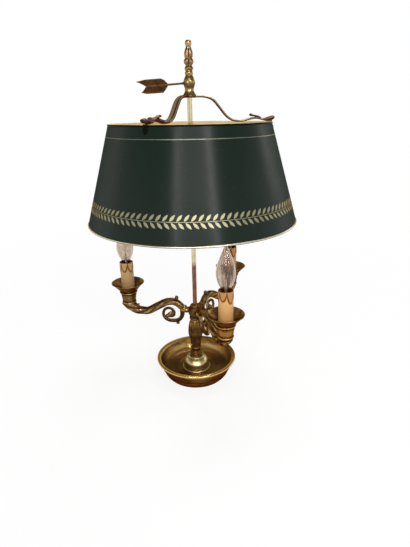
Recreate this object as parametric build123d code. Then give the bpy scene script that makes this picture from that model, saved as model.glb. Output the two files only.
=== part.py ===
from build123d import *
import os
from math import cos, hypot, radians, sin

os.makedirs("parts", exist_ok=True)

# Bouillotte lamp with three electric candles, a painted metal shade that slides on a central rod,
# and an arrow-shaped key that clamps it. Millimetres, +Z up, origin at the middle of the foot on
# the table, -Y toward the viewer. An azimuth is counted from -Y, positive toward +X.

# ---- Base ----
FELT_T = 1.5
FELT_GAP = 0.9             # between the felt's edge and the foot ring
FOOT_R = 57.5              # outer radius of the foot ring at the table
FOOT_CLEARANCE = 0.6       # the brass foot stands this far above the table
FOOT_EDGE_W = 1.6          # width of the foot ring's lower edge
FOOT_WALL = 3.0
FOOT_SPREAD = 8.0          # the foot ring is this much wider where it meets the dish
DISH_FLOOR_Z = 12.5        # top of the dish floor
DISH_FLOOR_R = 58.0
DISH_DEPTH = 25.5
DISH_RIM_R = 77.0
DISH_SHEET = 1.6
DISH_LIP_R = 2.0           # radius of the rolled lip
RIDGE_R = 38.0             # raised ring on the dish floor
RIDGE_H = 0.9
RIDGE_W = 4.4
WEIGHT_BORE_R = 15.0
WEIGHT_WEB_T = 2.6         # the nut clamps this web of the weight against the dish

# ---- Threaded tube that ties base, stem and hub together ----
TUBE_R = 5.0
TUBE_WALL = 1.1
TUBE_PAST_NUT = 0.5
TUBE_BELOW_ROD = 3.0       # free height between the tube's end and the rod's seat
NUT_ACROSS_FLATS = 15.0
NUT_H = 4.0
WASHER_R = 13.0
WASHER_T = 1.2
BORE_CLEARANCE = 0.1       # bores for the tube and the nipples

# ---- Cord inlet in the back of the foot ring ----
INLET_AZIMUTH = 180.0
INLET_Z = 6.4
INLET_BORE_R = 2.9
INLET_BODY_R = 3.9
INLET_HEAD_R = 4.9
INLET_HEAD_T = 1.8
INLET_LENGTH = 8.0

# ---- Stem ----
STEM_FLANGE_R = 28.0
STEM_FLANGE_T = 2.2
DOME_R = 25.0
DOME_TOP_R = 15.4
DOME_H = 27.0
DOME_SEAT_DEPTH = 1.6      # the column stands in a shallow seat in the dome's top
COLUMN_FOOT_R = 12.0
COLUMN_FOOT_H = 1.5        # straight edge of the column's foot above the dome
COLUMN_NECK_R = 8.6
COLUMN_TOP_R = 9.2
COLUMN_H = 77.7            # above the dome
LOW_RING_R = 10.6
LOW_RING_UP = 6.6          # middle of the ring above the dome
LOW_RING_H = 4.6
HIGH_RING_R = 10.4
HIGH_RING_UP = 17.0
HIGH_RING_H = 4.4
VASE_UP = 21.5             # lower end of the vase above the dome
VASE_H = 52.0
VASE_R = 14.6
VASE_SHOULDER_H = 2.1      # slope from the vase's top to the column's top edge
VASE_FLUTES = 6
VASE_AZIMUTH = -12.0       # middle of the lobe between two flutes
FLUTE_R = 2.2
FLUTE_DEPTH = 1.1

# ---- Arm hub ----
HUB_R = 13.6
HUB_H = 27.0
HUB_MID_UP = 18.5          # height of the candle arms' roots above the column
HUB_RING_R = 11.2
HUB_RING_H = 5.4
HUB_CAP_R = 8.8
HUB_CAP_H = 5.0
HUB_CAP_WALL = 1.8         # the cap's plug is this much narrower than its head
ROD_SEAT_DOWN = 6.5        # the rod stands this far below the arms' roots
ROD_FLOOR_T = 2.0          # floor of the cap under the rod
ROD_END_GAP = 0.1          # between that floor and the rod's end

# ---- Candle arms ----
ARM_AZIMUTH = {"front": 22.0, "back": 144.0, "left": -102.0}
ARM_REACH = 130.0          # rod axis to candle axis
ARM_END_UP = 8.3           # the arm's level end above its root
ARM_END_R = 13.8
ARM_END_SPARE = 3.0        # the bar runs this far past its level end before it is cut
ARM_ROOT_R = 6.2
VOLUTE_EYE_R = 4.5

# ---- Candles ----
CUP_FOOT_R = 13.6
CUP_WAIST_R = 13.0
CUP_R = 15.4
CUP_RING_R = 16.8
CUP_H = 25.0
PAN_R = 30.6
PAN_H = 17.0
PAN_SHEET = 1.0
PAN_FLOOR_R = 15.0
SLEEVE_R = 12.5
SLEEVE_WALL = 1.3
SLEEVE_H = 57.0
SOCKET_R = 10.4
SOCKET_H = 47.0
SOCKET_DEPTH = 13.0        # from the socket's top to the seat of the bulb
NIPPLE_IN_ARM = 10.0
NIPPLE_IN_SOCKET = 9.0
NIPPLE_GAP = 0.3           # free length at each end of the nipple

# ---- Bulbs (clear candle lamp on a 12 mm screw base) ----
BULB_R = 15.875
BULB_GLASS_H = 80.0
BULB_WIDEST = 0.40         # height of the widest place, as a share of the glass
BULB_GLASS_WALL = 0.8
BULB_BASE_R = 5.95
BULB_BASE_H = 17.0
BULB_NECK_R = 6.4
BULB_CONTACT_R = 2.4
SOCKET_BORE_R = 6.5
BULB_SEAT_GAP = 0.3
MOUNT_FOOT_R = 4.4
MOUNT_STEM_R = 1.5
MOUNT_STEM_H = 22.0
MOUNT_WIRE_H = 20.0        # how far the support wires stand above the glass stem
FILAMENT_SPAN = 11.0
FILAMENT_WIRE_R = 0.4

# ---- Shade ----
SHADE_BOTTOM_R = 178.0     # over the bottom bead
SHADE_TOP_R = 132.1        # over the top bead
SHADE_BOTTOM_Z = 313.6
SHADE_H = 157.8
SHADE_SHEET = 0.8
BOTTOM_BEAD_R = 1.5
TOP_BEAD_R = 1.3

# ---- Shade carrier ----
CARRIER_RISE = 37.2        # the collar's lower edge above the shade's rim
CARRIER_AZIMUTHS = {"left": -27.0, "right": 93.0, "back": -147.0}
COLLAR_H = 38.7
COLLAR_FLARE_R = 11.2
COLLAR_FLARE_H = 3.4
COLLAR_WAIST_R = 7.0
COLLAR_BULB_R = 9.3
COLLAR_BULB_UP = 21.4      # middle of the collar's bulb above its lower edge
COLLAR_NECK_R = 5.4
STRAP_T = 3.0
STRAP_ROOT_W = 12.0
STRAP_END_W = 9.0
LEAF_T = 1.6
LEAF_HALF_W = 7.2
LEAF_BOSS_R = 2.6          # boss that joins the leaf to the strap
LIP_LENGTH = 12.0
LIP_T = 2.0
LIP_W = 7.0
LIP_CLEARANCE = 0.1
SHADE_SCREW_R = 1.5
SHADE_SCREW_HEAD_R = 2.8
SHADE_SCREW_HEAD_T = 1.6
SHADE_NUT_T = 1.8
SHADE_NUT_GAP = 0.12       # between the nut and the shade's wall
SHADE_SCREW_PAST_NUT = 1.0
SHADE_NUT_ACROSS_FLATS = 5.55

# ---- Rod and finial ----
ROD_R = 3.9
ROD_IN_FINIAL = 8.4
RUNNING_CLEARANCE = 0.06
SLIDE_CLEARANCE = 0.08
FINIAL_GAP = 0.3           # between the collar and the finial
FINIAL_H = 42.5
FINIAL_DISC_R = 6.8
FINIAL_CORE_R = 4.4
FINIAL_KNOB_R = 5.0
FINIAL_LOBES = 4           # lobes in each of the two tiers
LOBE_R = 2.7
LOW_LOBE_OUT = 4.2         # the lobes' middles stand this far from the axis
HIGH_LOBE_OUT = 3.6

# ---- Arrow key ----
KEY_AZIMUTH = -90.0
KEY_DROOP = 3.9            # degrees that the key points below level
KEY_SHANK_R = 1.9
KEY_SHANK_PROUD = 2.0      # the shank leaves the collar's bulb by this much
KEY_SHAFT_R = 1.5
KEY_SHAFT_IN_FLETCH = 4.0
KEY_TIP_GAP = 0.1
KEY_LENGTH = 83.0
FLETCH_LENGTH = 49.5
FLETCH_HALF_W = 11.0
FLETCH_T = 2.2
FLETCH_NOTCH = 15.0
FLETCH_STAGGER = 6.8       # the lower barb ends this much short of the upper one

# ---- Heights and radii that follow from those above ----
FELT_R = FOOT_R - FOOT_EDGE_W - FELT_GAP
DISH_RIM_Z = DISH_FLOOR_Z + DISH_DEPTH
DISH_UNDER_Z = DISH_FLOOR_Z - DISH_SHEET
WEB_UNDER_Z = DISH_UNDER_Z - WEIGHT_WEB_T
NUT_BOTTOM_Z = WEB_UNDER_Z - WASHER_T - NUT_H
DOME_TOP_Z = DISH_FLOOR_Z + DOME_H
COLUMN_BOTTOM_Z = DOME_TOP_Z - DOME_SEAT_DEPTH
COLUMN_TOP_Z = DOME_TOP_Z + COLUMN_H
HUB_MID_Z = COLUMN_TOP_Z + HUB_MID_UP
HUB_TOP_Z = COLUMN_TOP_Z + HUB_H
HUB_PLUG_R = HUB_CAP_R - HUB_CAP_WALL
ROD_SEAT_Z = HUB_MID_Z - ROD_SEAT_DOWN
ARM_END_Z = HUB_MID_Z + ARM_END_UP
PAN_UNDER_Z = ARM_END_Z + CUP_H
PAN_FLOOR_Z = PAN_UNDER_Z + PAN_SHEET
SLEEVE_TOP_Z = PAN_FLOOR_Z + SLEEVE_H
SOCKET_TOP_Z = PAN_FLOOR_Z + SOCKET_H
BULB_SEAT_Z = SOCKET_TOP_Z - SOCKET_DEPTH
BULB_BOTTOM_Z = BULB_SEAT_Z + BULB_SEAT_GAP
GLASS_BOTTOM_Z = BULB_BOTTOM_Z + BULB_BASE_H
SHADE_TOP_Z = SHADE_BOTTOM_Z + SHADE_H
COLLAR_BOTTOM_Z = SHADE_TOP_Z + CARRIER_RISE
COLLAR_BULB_Z = COLLAR_BOTTOM_Z + COLLAR_BULB_UP
COLLAR_TOP_Z = COLLAR_BOTTOM_Z + COLLAR_H
FINIAL_BASE_Z = COLLAR_TOP_Z + FINIAL_GAP
ROD_TOP_Z = FINIAL_BASE_Z + ROD_IN_FINIAL
TUBE_BORE_R = TUBE_R + BORE_CLEARANCE

UPWARD = (Align.CENTER, Align.CENTER, Align.MIN)


# ---- Shared shapes ----
def line(*points):
    """Straight runs through (radius, height) points."""
    return Polyline(*[(radius, 0, height) for radius, height in points])


def curve(*points):
    """A smooth curve through (radius, height) points."""
    return Spline(*[(radius, 0, height) for radius, height in points])


def bead(root_r, crest_r, middle, height):
    """The round outline of a turned ring."""
    return curve((root_r, middle - height / 2), (crest_r, middle), (root_r, middle + height / 2))


def ends(run):
    """The first and last point of a run as (radius, height)."""
    first, last = run @ 0, run @ 1
    return (first.X, first.Z), (last.X, last.Z)


def closed_face(*runs):
    """The face inside runs that follow each other, closed by a straight line."""
    outline = Curve() + list(runs)
    start, end = runs[0] @ 0, runs[-1] @ 1
    if (start - end).length > 1e-6:
        outline = outline + Line(end, start)
    return make_face(outline)


def turned(*runs):
    """A solid turned about Z from an outline in (radius, height)."""
    return revolve(closed_face(*runs), Axis.Z)


def tube(outer_r, inner_r, bottom, top):
    return turned(line((inner_r, bottom), (outer_r, bottom), (outer_r, top), (inner_r, top)))


def rod(radius, bottom, top):
    return Pos(0, 0, bottom) * Cylinder(radius, top - bottom, align=UPWARD)


def facing(azimuth):
    """Turns a piece built along +X to point along an azimuth."""
    return Rot(0, 0, azimuth - 90)


def at_candle(azimuth):
    """Moves a piece built on the Z axis to the candle axis of one arm."""
    return Pos(ARM_REACH * sin(radians(azimuth)), -ARM_REACH * cos(radians(azimuth)), 0)


def tapered_bar(path, radii):
    """A round bar along a path in the XZ plane, with its radius given at even steps."""
    sections = []
    for index, radius in enumerate(radii):
        place = index / (len(radii) - 1)
        sections.append(Plane(path @ place, x_dir=(0, 1, 0), z_dir=path % place) * Circle(radius))
    return loft(sections)


def between(start, end):
    """The plane at one (radius, height) point that faces another, and the distance to it."""
    start, end = Vector(start[0], 0, start[1]), Vector(end[0], 0, end[1])
    return Plane(start, z_dir=end - start), (end - start).length


def leaf_point(start, end, root_r, tip_r):
    """A tapered point with a round tip, between two (radius, height) points."""
    place, length = between(start, end)
    return place * (Cone(root_r, tip_r, length, align=UPWARD) + Pos(0, 0, length) * Sphere(tip_r))


def bent_plate(top_points, thickness, plan):
    """A plate bent along top_points in (radius, height) and cut to an outline in (radius, Y)."""
    top = curve(*top_points)
    steps = 2 * len(top_points)
    lower = []
    for index in range(steps + 1):
        along = top % (index / steps)
        lower.append(top @ (index / steps) + Vector(along.Z, 0, -along.X) * thickness)
    bottom = Spline(*lower)
    side = make_face(Curve() + [top, bottom, Line(top @ 0, bottom @ 0), Line(top @ 1, bottom @ 1)])
    width = max(abs(y) for _, y in plan) + 1
    blank = extrude(side, amount=width, both=True)
    low = min(height for _, height in top_points) - 3 * thickness
    high = max(height for _, height in top_points) + thickness
    cutter = Pos(0, 0, low) * extrude(make_face(Polyline(*plan, close=True)), amount=high - low)
    return blank & cutter


# ---- Base ----
def dish_wall(offset):
    """The dish wall from floor to lip, moved outward by offset."""
    spread = DISH_RIM_R - DISH_FLOOR_R
    return curve(
        (DISH_FLOOR_R + offset * 0.3, DISH_FLOOR_Z - offset),
        (DISH_FLOOR_R + spread * 0.36 + offset * 0.7, DISH_FLOOR_Z + DISH_DEPTH * 0.17 - offset * 0.8),
        (DISH_FLOOR_R + spread * 0.62 + offset * 0.9, DISH_FLOOR_Z + DISH_DEPTH * 0.47 - offset * 0.4),
        (DISH_RIM_R - 1.4 * DISH_LIP_R + offset, DISH_RIM_Z - DISH_LIP_R),
    )


def make_base_dish():
    inner = dish_wall(0)
    outer = dish_wall(DISH_SHEET)
    floor = line(ends(inner)[0], (TUBE_BORE_R, DISH_FLOOR_Z), (TUBE_BORE_R, DISH_UNDER_Z), ends(outer)[0])
    sheet = revolve(make_face(Curve() + [inner, floor, outer, Line(inner @ 1, outer @ 1)]), Axis.Z)
    lip = Pos(0, 0, DISH_RIM_Z - DISH_LIP_R) * Torus(DISH_RIM_R - DISH_LIP_R, DISH_LIP_R)
    ridge_foot_z = DISH_FLOOR_Z - DISH_SHEET / 3
    ridge = turned(curve(
        (RIDGE_R + RIDGE_W / 2, ridge_foot_z),
        (RIDGE_R, DISH_FLOOR_Z + RIDGE_H),
        (RIDGE_R - RIDGE_W / 2, ridge_foot_z),
    ))
    return sheet + lip + ridge


def in_foot_wall(piece):
    """Lays a piece built on the Z axis in the foot ring's wall, from its spotface at zero outward."""
    spotface_r = FOOT_R + 0.64 * FOOT_SPREAD
    return facing(INLET_AZIMUTH) * Pos(spotface_r, 0, INLET_Z) * Rot(0, 90, 0) * piece


def make_inlet_bushing():
    """Headed bushing that lines the cord hole, with its head outside the foot ring."""
    body = tube(INLET_BODY_R, INLET_BORE_R, -INLET_LENGTH, 0)
    head = tube(INLET_HEAD_R, INLET_BORE_R, 0, INLET_HEAD_T)
    return in_foot_wall(body + head)


def make_inlet_hole():
    """The hole that the bushing fills, with a spotface for its head."""
    return in_foot_wall(rod(INLET_BODY_R, -INLET_LENGTH, 0) + rod(INLET_HEAD_R, 0, INLET_LENGTH))


def make_foot_ring():
    """The turned ring under the dish, cut to the shape of the dish's underside."""
    top = DISH_FLOOR_Z + 2 * DISH_SHEET
    wide_r = FOOT_R + FOOT_SPREAD
    edge_r = FOOT_R - FOOT_EDGE_W
    outer = curve(
        (FOOT_R, FOOT_CLEARANCE),
        (FOOT_R + FOOT_SPREAD * 0.45, FOOT_CLEARANCE + (top - FOOT_CLEARANCE) * 0.28),
        (wide_r, top),
    )
    inner = line(
        (wide_r, top),
        (wide_r - 2 * FOOT_WALL, top),
        (edge_r, FOOT_CLEARANCE + FOOT_WALL),
        (edge_r, FOOT_CLEARANCE),
    )
    under_dish = dish_wall(DISH_SHEET)
    start, end = ends(under_dish)
    above_dish = turned(line((0, start[1]), start), under_dish, line(end, (0, end[1])))
    return turned(outer, inner) - above_dish - make_inlet_hole()


def make_base_weight():
    """Cast ring under the dish, with a web that the nut clamps and a channel for the cord."""
    outer_r = FOOT_R - FOOT_WALL
    blank = tube(outer_r, TUBE_BORE_R, FELT_T, DISH_UNDER_Z)
    blank = blank - rod(WEIGHT_BORE_R, FELT_T, WEB_UNDER_Z)
    channel_r = INLET_BORE_R + 0.4
    channel = Pos(0, 0, INLET_Z) * Rot(0, 90, 0) * rod(channel_r, WEIGHT_BORE_R - 1, outer_r + 1)
    return blank - facing(INLET_AZIMUTH) * channel


def make_base_nut():
    hexagon = RegularPolygon(NUT_ACROSS_FLATS / 2, 6, major_radius=False) - Circle(TUBE_R)
    return Pos(0, 0, NUT_BOTTOM_Z) * extrude(hexagon, amount=NUT_H)


def make_stem_tube():
    return tube(TUBE_R, TUBE_R - TUBE_WALL, NUT_BOTTOM_Z - TUBE_PAST_NUT, ROD_SEAT_Z - TUBE_BELOW_ROD)


# ---- Stem ----
def make_stem_foot():
    flange_top = DISH_FLOOR_Z + STEM_FLANGE_T
    chamfer = STEM_FLANGE_T * 0.36
    groove_r = DOME_R - 1.6
    return turned(
        line(
            (TUBE_BORE_R, DISH_FLOOR_Z),
            (STEM_FLANGE_R - chamfer, DISH_FLOOR_Z),
            (STEM_FLANGE_R, DISH_FLOOR_Z + chamfer),
        ),
        curve(
            (STEM_FLANGE_R, DISH_FLOOR_Z + chamfer),
            (STEM_FLANGE_R - chamfer, flange_top - 0.1),
            (groove_r, flange_top + 0.4),
        ),
        curve(
            (groove_r, flange_top + 0.4),
            (DOME_R, DISH_FLOOR_Z + DOME_H * 0.26),
            (DOME_R - 0.8, DISH_FLOOR_Z + DOME_H * 0.46),
            (DOME_R - 2.6, DISH_FLOOR_Z + DOME_H * 0.62),
            (DOME_R - 6.2, DISH_FLOOR_Z + DOME_H * 0.80),
            (DOME_TOP_R - 0.6, DISH_FLOOR_Z + DOME_H * 0.91),
            (DOME_TOP_R, DOME_TOP_Z),
        ),
        line(
            (DOME_TOP_R, DOME_TOP_Z),
            (COLUMN_FOOT_R, DOME_TOP_Z - 0.4),
            (COLUMN_FOOT_R, COLUMN_BOTTOM_Z),
            (TUBE_BORE_R, COLUMN_BOTTOM_Z),
        ),
    )


def vase_profile():
    """Points up the vase, from its neck to its shoulder."""
    lower = [(5.4, 0.0), (4.7, 0.085), (3.6, 0.24), (2.9, 0.31), (0.8, 0.44)]
    upper = [(0.0, 0.54), (0.2, 0.66), (0.7, 0.77), (1.5, 0.877), (3.7, 1.0)]
    bottom = DOME_TOP_Z + VASE_UP
    return [(VASE_R - narrowing, bottom + VASE_H * share) for narrowing, share in lower + upper]


def make_stem_column():
    foot_top = DOME_TOP_Z + COLUMN_FOOT_H
    low_ring_z = DOME_TOP_Z + LOW_RING_UP
    high_ring_z = DOME_TOP_Z + HIGH_RING_UP
    neck_end = high_ring_z + HIGH_RING_H / 2
    vase = vase_profile()
    blank = turned(
        line((TUBE_BORE_R, COLUMN_BOTTOM_Z), (COLUMN_FOOT_R, COLUMN_BOTTOM_Z), (COLUMN_FOOT_R, foot_top)),
        curve(
            (COLUMN_FOOT_R, foot_top),
            (COLUMN_NECK_R + 0.6, foot_top + COLUMN_FOOT_H),
            (COLUMN_NECK_R, low_ring_z - LOW_RING_H / 2),
        ),
        bead(COLUMN_NECK_R, LOW_RING_R, low_ring_z, LOW_RING_H),
        line((COLUMN_NECK_R, low_ring_z + LOW_RING_H / 2), (COLUMN_NECK_R, high_ring_z - HIGH_RING_H / 2)),
        bead(COLUMN_NECK_R, HIGH_RING_R, high_ring_z, HIGH_RING_H),
        curve((COLUMN_NECK_R, neck_end), (COLUMN_NECK_R - 0.3, (neck_end + vase[0][1]) / 2), vase[0]),
        curve(*vase),
        line(
            vase[-1],
            (COLUMN_TOP_R, vase[-1][1] + VASE_SHOULDER_H),
            (COLUMN_TOP_R, COLUMN_TOP_Z),
            (TUBE_BORE_R, COLUMN_TOP_Z),
        ),
    )
    outside = FLUTE_R - FLUTE_DEPTH
    flute_path = curve(*[(radius + outside, height) for radius, height in vase[3:]])
    flute = tapered_bar(flute_path, [FLUTE_R * 0.55, FLUTE_R, FLUTE_R, FLUTE_R, FLUTE_R * 0.8])
    for index in range(VASE_FLUTES):
        blank = blank - facing(VASE_AZIMUTH + 360 / VASE_FLUTES * (index + 0.5)) * flute
    return blank


def make_arm_hub(arms):
    neck_r = COLUMN_TOP_R + 0.6
    shoulder_r = HUB_CAP_R + 0.8
    plug_bottom = ROD_SEAT_Z - ROD_FLOOR_T
    blank = turned(
        line((TUBE_BORE_R, COLUMN_TOP_Z), (COLUMN_TOP_R, COLUMN_TOP_Z)),
        curve(
            (COLUMN_TOP_R, COLUMN_TOP_Z),
            (HUB_RING_R, COLUMN_TOP_Z + HUB_RING_H / 2),
            (neck_r, COLUMN_TOP_Z + HUB_RING_H),
        ),
        curve(
            (neck_r, COLUMN_TOP_Z + HUB_RING_H),
            (HUB_R - 1.2, HUB_MID_Z - 7.5),
            (HUB_R, HUB_MID_Z),
            (HUB_R - 1.0, HUB_MID_Z + 5.0),
            (shoulder_r, HUB_TOP_Z),
        ),
        line(
            (shoulder_r, HUB_TOP_Z),
            (HUB_PLUG_R, HUB_TOP_Z),
            (HUB_PLUG_R, plug_bottom),
            (TUBE_BORE_R, plug_bottom),
        ),
    )
    for arm in arms:
        blank = blank - arm
    return blank


def make_hub_cap():
    """Plug in the hub's top with the rod's socket in it."""
    plug_bottom = ROD_SEAT_Z - ROD_FLOOR_T
    socket_r = ROD_R + RUNNING_CLEARANCE
    cap_top = HUB_TOP_Z + HUB_CAP_H
    top_r = ROD_R + 1.2
    return turned(
        line((0, plug_bottom), (HUB_PLUG_R, plug_bottom), (HUB_PLUG_R, HUB_TOP_Z), (HUB_CAP_R, HUB_TOP_Z)),
        curve(
            (HUB_CAP_R, HUB_TOP_Z),
            (HUB_CAP_R + 0.5, HUB_TOP_Z + HUB_CAP_H * 0.3),
            (HUB_CAP_R - 1.4, HUB_TOP_Z + HUB_CAP_H * 0.75),
            (top_r, cap_top),
        ),
        line((top_r, cap_top), (socket_r, cap_top), (socket_r, ROD_SEAT_Z), (0, ROD_SEAT_Z)),
    )


# ---- Candle arms ----
def by_hub(radius, above):
    """A point of the arm placed from the hub: (radius, height above the arm's root)."""
    return (radius, HUB_MID_Z + above)


def by_candle(inward, below):
    """A point of the arm placed from the candle axis and the arm's level end."""
    return (ARM_REACH - inward, ARM_END_Z - below)


def make_arm_body():
    """The S-shaped bar, which swells into a horn under the candle."""
    path = curve(
        by_hub(HUB_CAP_R, 0),
        by_hub(18.0, 0),
        by_hub(26.0, 4.9),
        by_hub(33.5, 11.3),
        by_hub(41.5, 15.0),
        by_hub(49.5, 14.6),
        by_hub(57.5, 12.2),
        by_hub(65.5, 8.0),
        by_candle(56.5, 4.8),
        by_candle(48.5, 10.0),
        by_candle(40.5, 14.2),
        by_candle(32.5, 16.4),
        by_candle(24.5, 16.1),
        by_candle(16.5, 15.0),
        by_candle(8.6, 10.9),
        by_candle(2.4, 5.4),
        by_candle(0.3, 0.6),
        by_candle(0, -ARM_END_SPARE),
    )
    swelling = [-0.2, 0, 0.6, 0.9, 1.0, 1.3, 1.4, 1.4, 1.3, 1.8, 2.6, 4.4]
    return tapered_bar(path, [ARM_ROOT_R + change for change in swelling] + [ARM_END_R])


def make_volute():
    """The scroll that hangs below the arm's arch and curls up into an eye."""
    path = curve(
        by_hub(24.0, 2.0),
        by_hub(25.0, -3.8),
        by_hub(25.6, -12.5),
        by_hub(29.4, -20.1),
        by_hub(35.6, -24.3),
        by_hub(43.5, -25.5),
        by_hub(52.5, -25.1),
        by_hub(59.4, -21.1),
        by_hub(62.9, -13.1),
        by_hub(60.6, -4.1),
        by_hub(53.6, 0.4),
        by_hub(45.6, -1.1),
        by_hub(41.1, -7.3),
        by_hub(42.6, -14.7),
        by_hub(49.0, -17.5),
    )
    eye_x, eye_z = by_hub(51.5, -12.5)
    bar = tapered_bar(path, [5.2, 4.9, 4.1, 3.9, 3.8, 3.6, 3.3, 3.0, 2.8, 2.7, 2.6, 2.5, 2.5, 2.4, 2.3])
    return bar + Pos(eye_x, 0, eye_z) * Sphere(VOLUTE_EYE_R)


def make_candle_arm():
    """One arm, built toward +X: S-shaped bar, volute below, bud, thorn and two leaf points."""
    arm = make_arm_body() + make_volute()
    arm = arm + leaf_point(by_hub(36.0, 16.3), by_hub(35.2, 24.3), 3.4, 2.8)
    arm = arm + leaf_point(by_hub(34.5, -23.7), by_hub(34.5, -29.7), 3.4, 2.6)
    arm = arm + leaf_point(by_candle(14.5, 9.0), by_candle(19.0, 2.8), 3.0, 1.2)
    arm = arm + leaf_point(by_candle(4.0, 11.5), by_candle(-13.5, 2.6), 5.2, 1.4)
    end_x, end_z = by_candle(0, 0)
    bore = Pos(end_x, 0, 0) * rod(TUBE_BORE_R, end_z - NIPPLE_IN_ARM, end_z + NIPPLE_IN_ARM)
    above_end = Pos(end_x, 0, end_z) * Box(5 * ARM_END_R, 5 * ARM_END_R, ARM_END_R, align=UPWARD)
    return arm - bore - above_end


# ---- Candles, built on the Z axis ----
def make_candle_cup():
    bottom, top = ARM_END_Z, PAN_UNDER_Z
    foot_h = CUP_H * 0.136
    under_ring = bottom + CUP_H * 0.83
    return turned(
        line((TUBE_BORE_R, bottom), (CUP_WAIST_R, bottom)),
        bead(CUP_WAIST_R, CUP_FOOT_R, bottom + foot_h / 2, foot_h),
        curve(
            (CUP_WAIST_R, bottom + foot_h),
            (CUP_WAIST_R + 0.4, bottom + CUP_H * 0.4),
            (CUP_R - 1.8, bottom + CUP_H * 0.68),
            (CUP_R, under_ring),
        ),
        curve((CUP_R, under_ring), (CUP_RING_R, (under_ring + top) / 2), (CUP_R - 0.6, top)),
        line((CUP_R - 0.6, top), (TUBE_BORE_R, top)),
    )


def make_drip_pan():
    under, floor_z = PAN_UNDER_Z, PAN_FLOOR_Z
    rim_z = under + PAN_H
    return turned(
        line((TUBE_BORE_R, under), (PAN_FLOOR_R, under)),
        curve(
            (PAN_FLOOR_R, under),
            (PAN_FLOOR_R + 2.3, under + PAN_H * 0.13),
            (PAN_FLOOR_R + 8.0, under + PAN_H * 0.51),
            (PAN_R - 2.0, rim_z - 2.5),
            (PAN_R, rim_z - 0.9),
        ),
        curve((PAN_R, rim_z - 0.9), (PAN_R, rim_z - 0.3), (PAN_R - 0.6, rim_z)),
        curve(
            (PAN_R - 0.6, rim_z),
            (PAN_R - 2.5, rim_z - 1.7),
            (PAN_FLOOR_R + 8.0 - PAN_SHEET, floor_z + PAN_H * 0.49),
            (PAN_FLOOR_R + 2.3 - PAN_SHEET, floor_z + PAN_H * 0.1),
            (PAN_FLOOR_R - 0.4, floor_z),
        ),
        line((PAN_FLOOR_R - 0.4, floor_z), (TUBE_BORE_R, floor_z)),
    )


def make_nipple():
    bottom = ARM_END_Z - NIPPLE_IN_ARM + NIPPLE_GAP
    return tube(TUBE_R, TUBE_R - TUBE_WALL, bottom, PAN_FLOOR_Z + NIPPLE_IN_SOCKET - NIPPLE_GAP)


def make_lamp_socket():
    blank = rod(SOCKET_R, PAN_FLOOR_Z, SOCKET_TOP_Z)
    blank = blank - rod(TUBE_BORE_R, PAN_FLOOR_Z, PAN_FLOOR_Z + NIPPLE_IN_SOCKET)
    return blank - rod(SOCKET_BORE_R, BULB_SEAT_Z, SOCKET_TOP_Z)


def make_candle_sleeve():
    return tube(SLEEVE_R, SLEEVE_R - SLEEVE_WALL, PAN_FLOOR_Z, SLEEVE_TOP_Z)


# ---- Bulbs, built on the Z axis ----
def make_bulb_base():
    bottom, top = BULB_BOTTOM_Z, GLASS_BOTTOM_Z
    contact_h, cone_h, flare_h = 1.6, 4.0, 3.5
    return turned(
        line(
            (0, bottom),
            (BULB_CONTACT_R, bottom),
            (BULB_CONTACT_R + 0.6, bottom + contact_h),
            (BULB_BASE_R, bottom + cone_h),
            (BULB_BASE_R, top - flare_h),
            (BULB_NECK_R, top),
            (0, top),
        )
    )


def bulb_profile(inset):
    """The glass outline from neck to tip, moved inward by inset."""
    bottom = GLASS_BOTTOM_Z
    widest = bottom + BULB_GLASS_H * BULB_WIDEST
    tip = bottom + BULB_GLASS_H - inset
    above = tip - widest
    return curve(
        (BULB_NECK_R - inset, bottom),
        (BULB_NECK_R + 1.1 - inset, bottom + BULB_GLASS_H * 0.1),
        (BULB_R * 0.83 - inset, bottom + BULB_GLASS_H * 0.24),
        (BULB_R - inset, widest),
        (BULB_R * 0.88 - inset, widest + above * 0.30),
        (BULB_R * 0.52 - inset, widest + above * 0.64),
        (BULB_R * 0.17 - inset * 0.6, widest + above * 0.92),
        (0, tip),
    )


def make_bulb_glass():
    outer = bulb_profile(0)
    inner = bulb_profile(BULB_GLASS_WALL)
    tip = Line(outer @ 1, inner @ 1)
    foot = Line(outer @ 0, inner @ 0)
    return revolve(make_face(Curve() + [outer, tip, inner, foot]), Axis.Z)


def make_bulb_mount():
    """Glass stem with two support wires and the filament between them."""
    bottom = GLASS_BOTTOM_Z
    stem_top = bottom + MOUNT_STEM_H
    wire_top = stem_top + MOUNT_WIRE_H
    mount = turned(
        line((0, bottom), (MOUNT_FOOT_R, bottom)),
        curve(
            (MOUNT_FOOT_R, bottom),
            (MOUNT_STEM_R + 1.1, bottom + MOUNT_STEM_H * 0.23),
            (MOUNT_STEM_R + 0.4, bottom + MOUNT_STEM_H * 0.64),
            (MOUNT_STEM_R, stem_top),
        ),
        line((MOUNT_STEM_R, stem_top), (0, stem_top + MOUNT_STEM_R / 2)),
    )
    for side in (-1, 1):
        root = (side * MOUNT_STEM_R * 0.6, stem_top - MOUNT_STEM_R)
        place, length = between(root, (side * FILAMENT_SPAN / 2, wire_top))
        mount = mount + place * Cylinder(FILAMENT_WIRE_R, length, align=UPWARD)
    hoop = Pos(0, 0, wire_top) * Rot(90, 0, 0) * Torus(FILAMENT_SPAN / 2, FILAMENT_WIRE_R)
    above = Pos(0, 0, wire_top) * Box(2 * FILAMENT_SPAN, FILAMENT_SPAN, FILAMENT_SPAN, align=UPWARD)
    return mount + (hoop & above)


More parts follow.
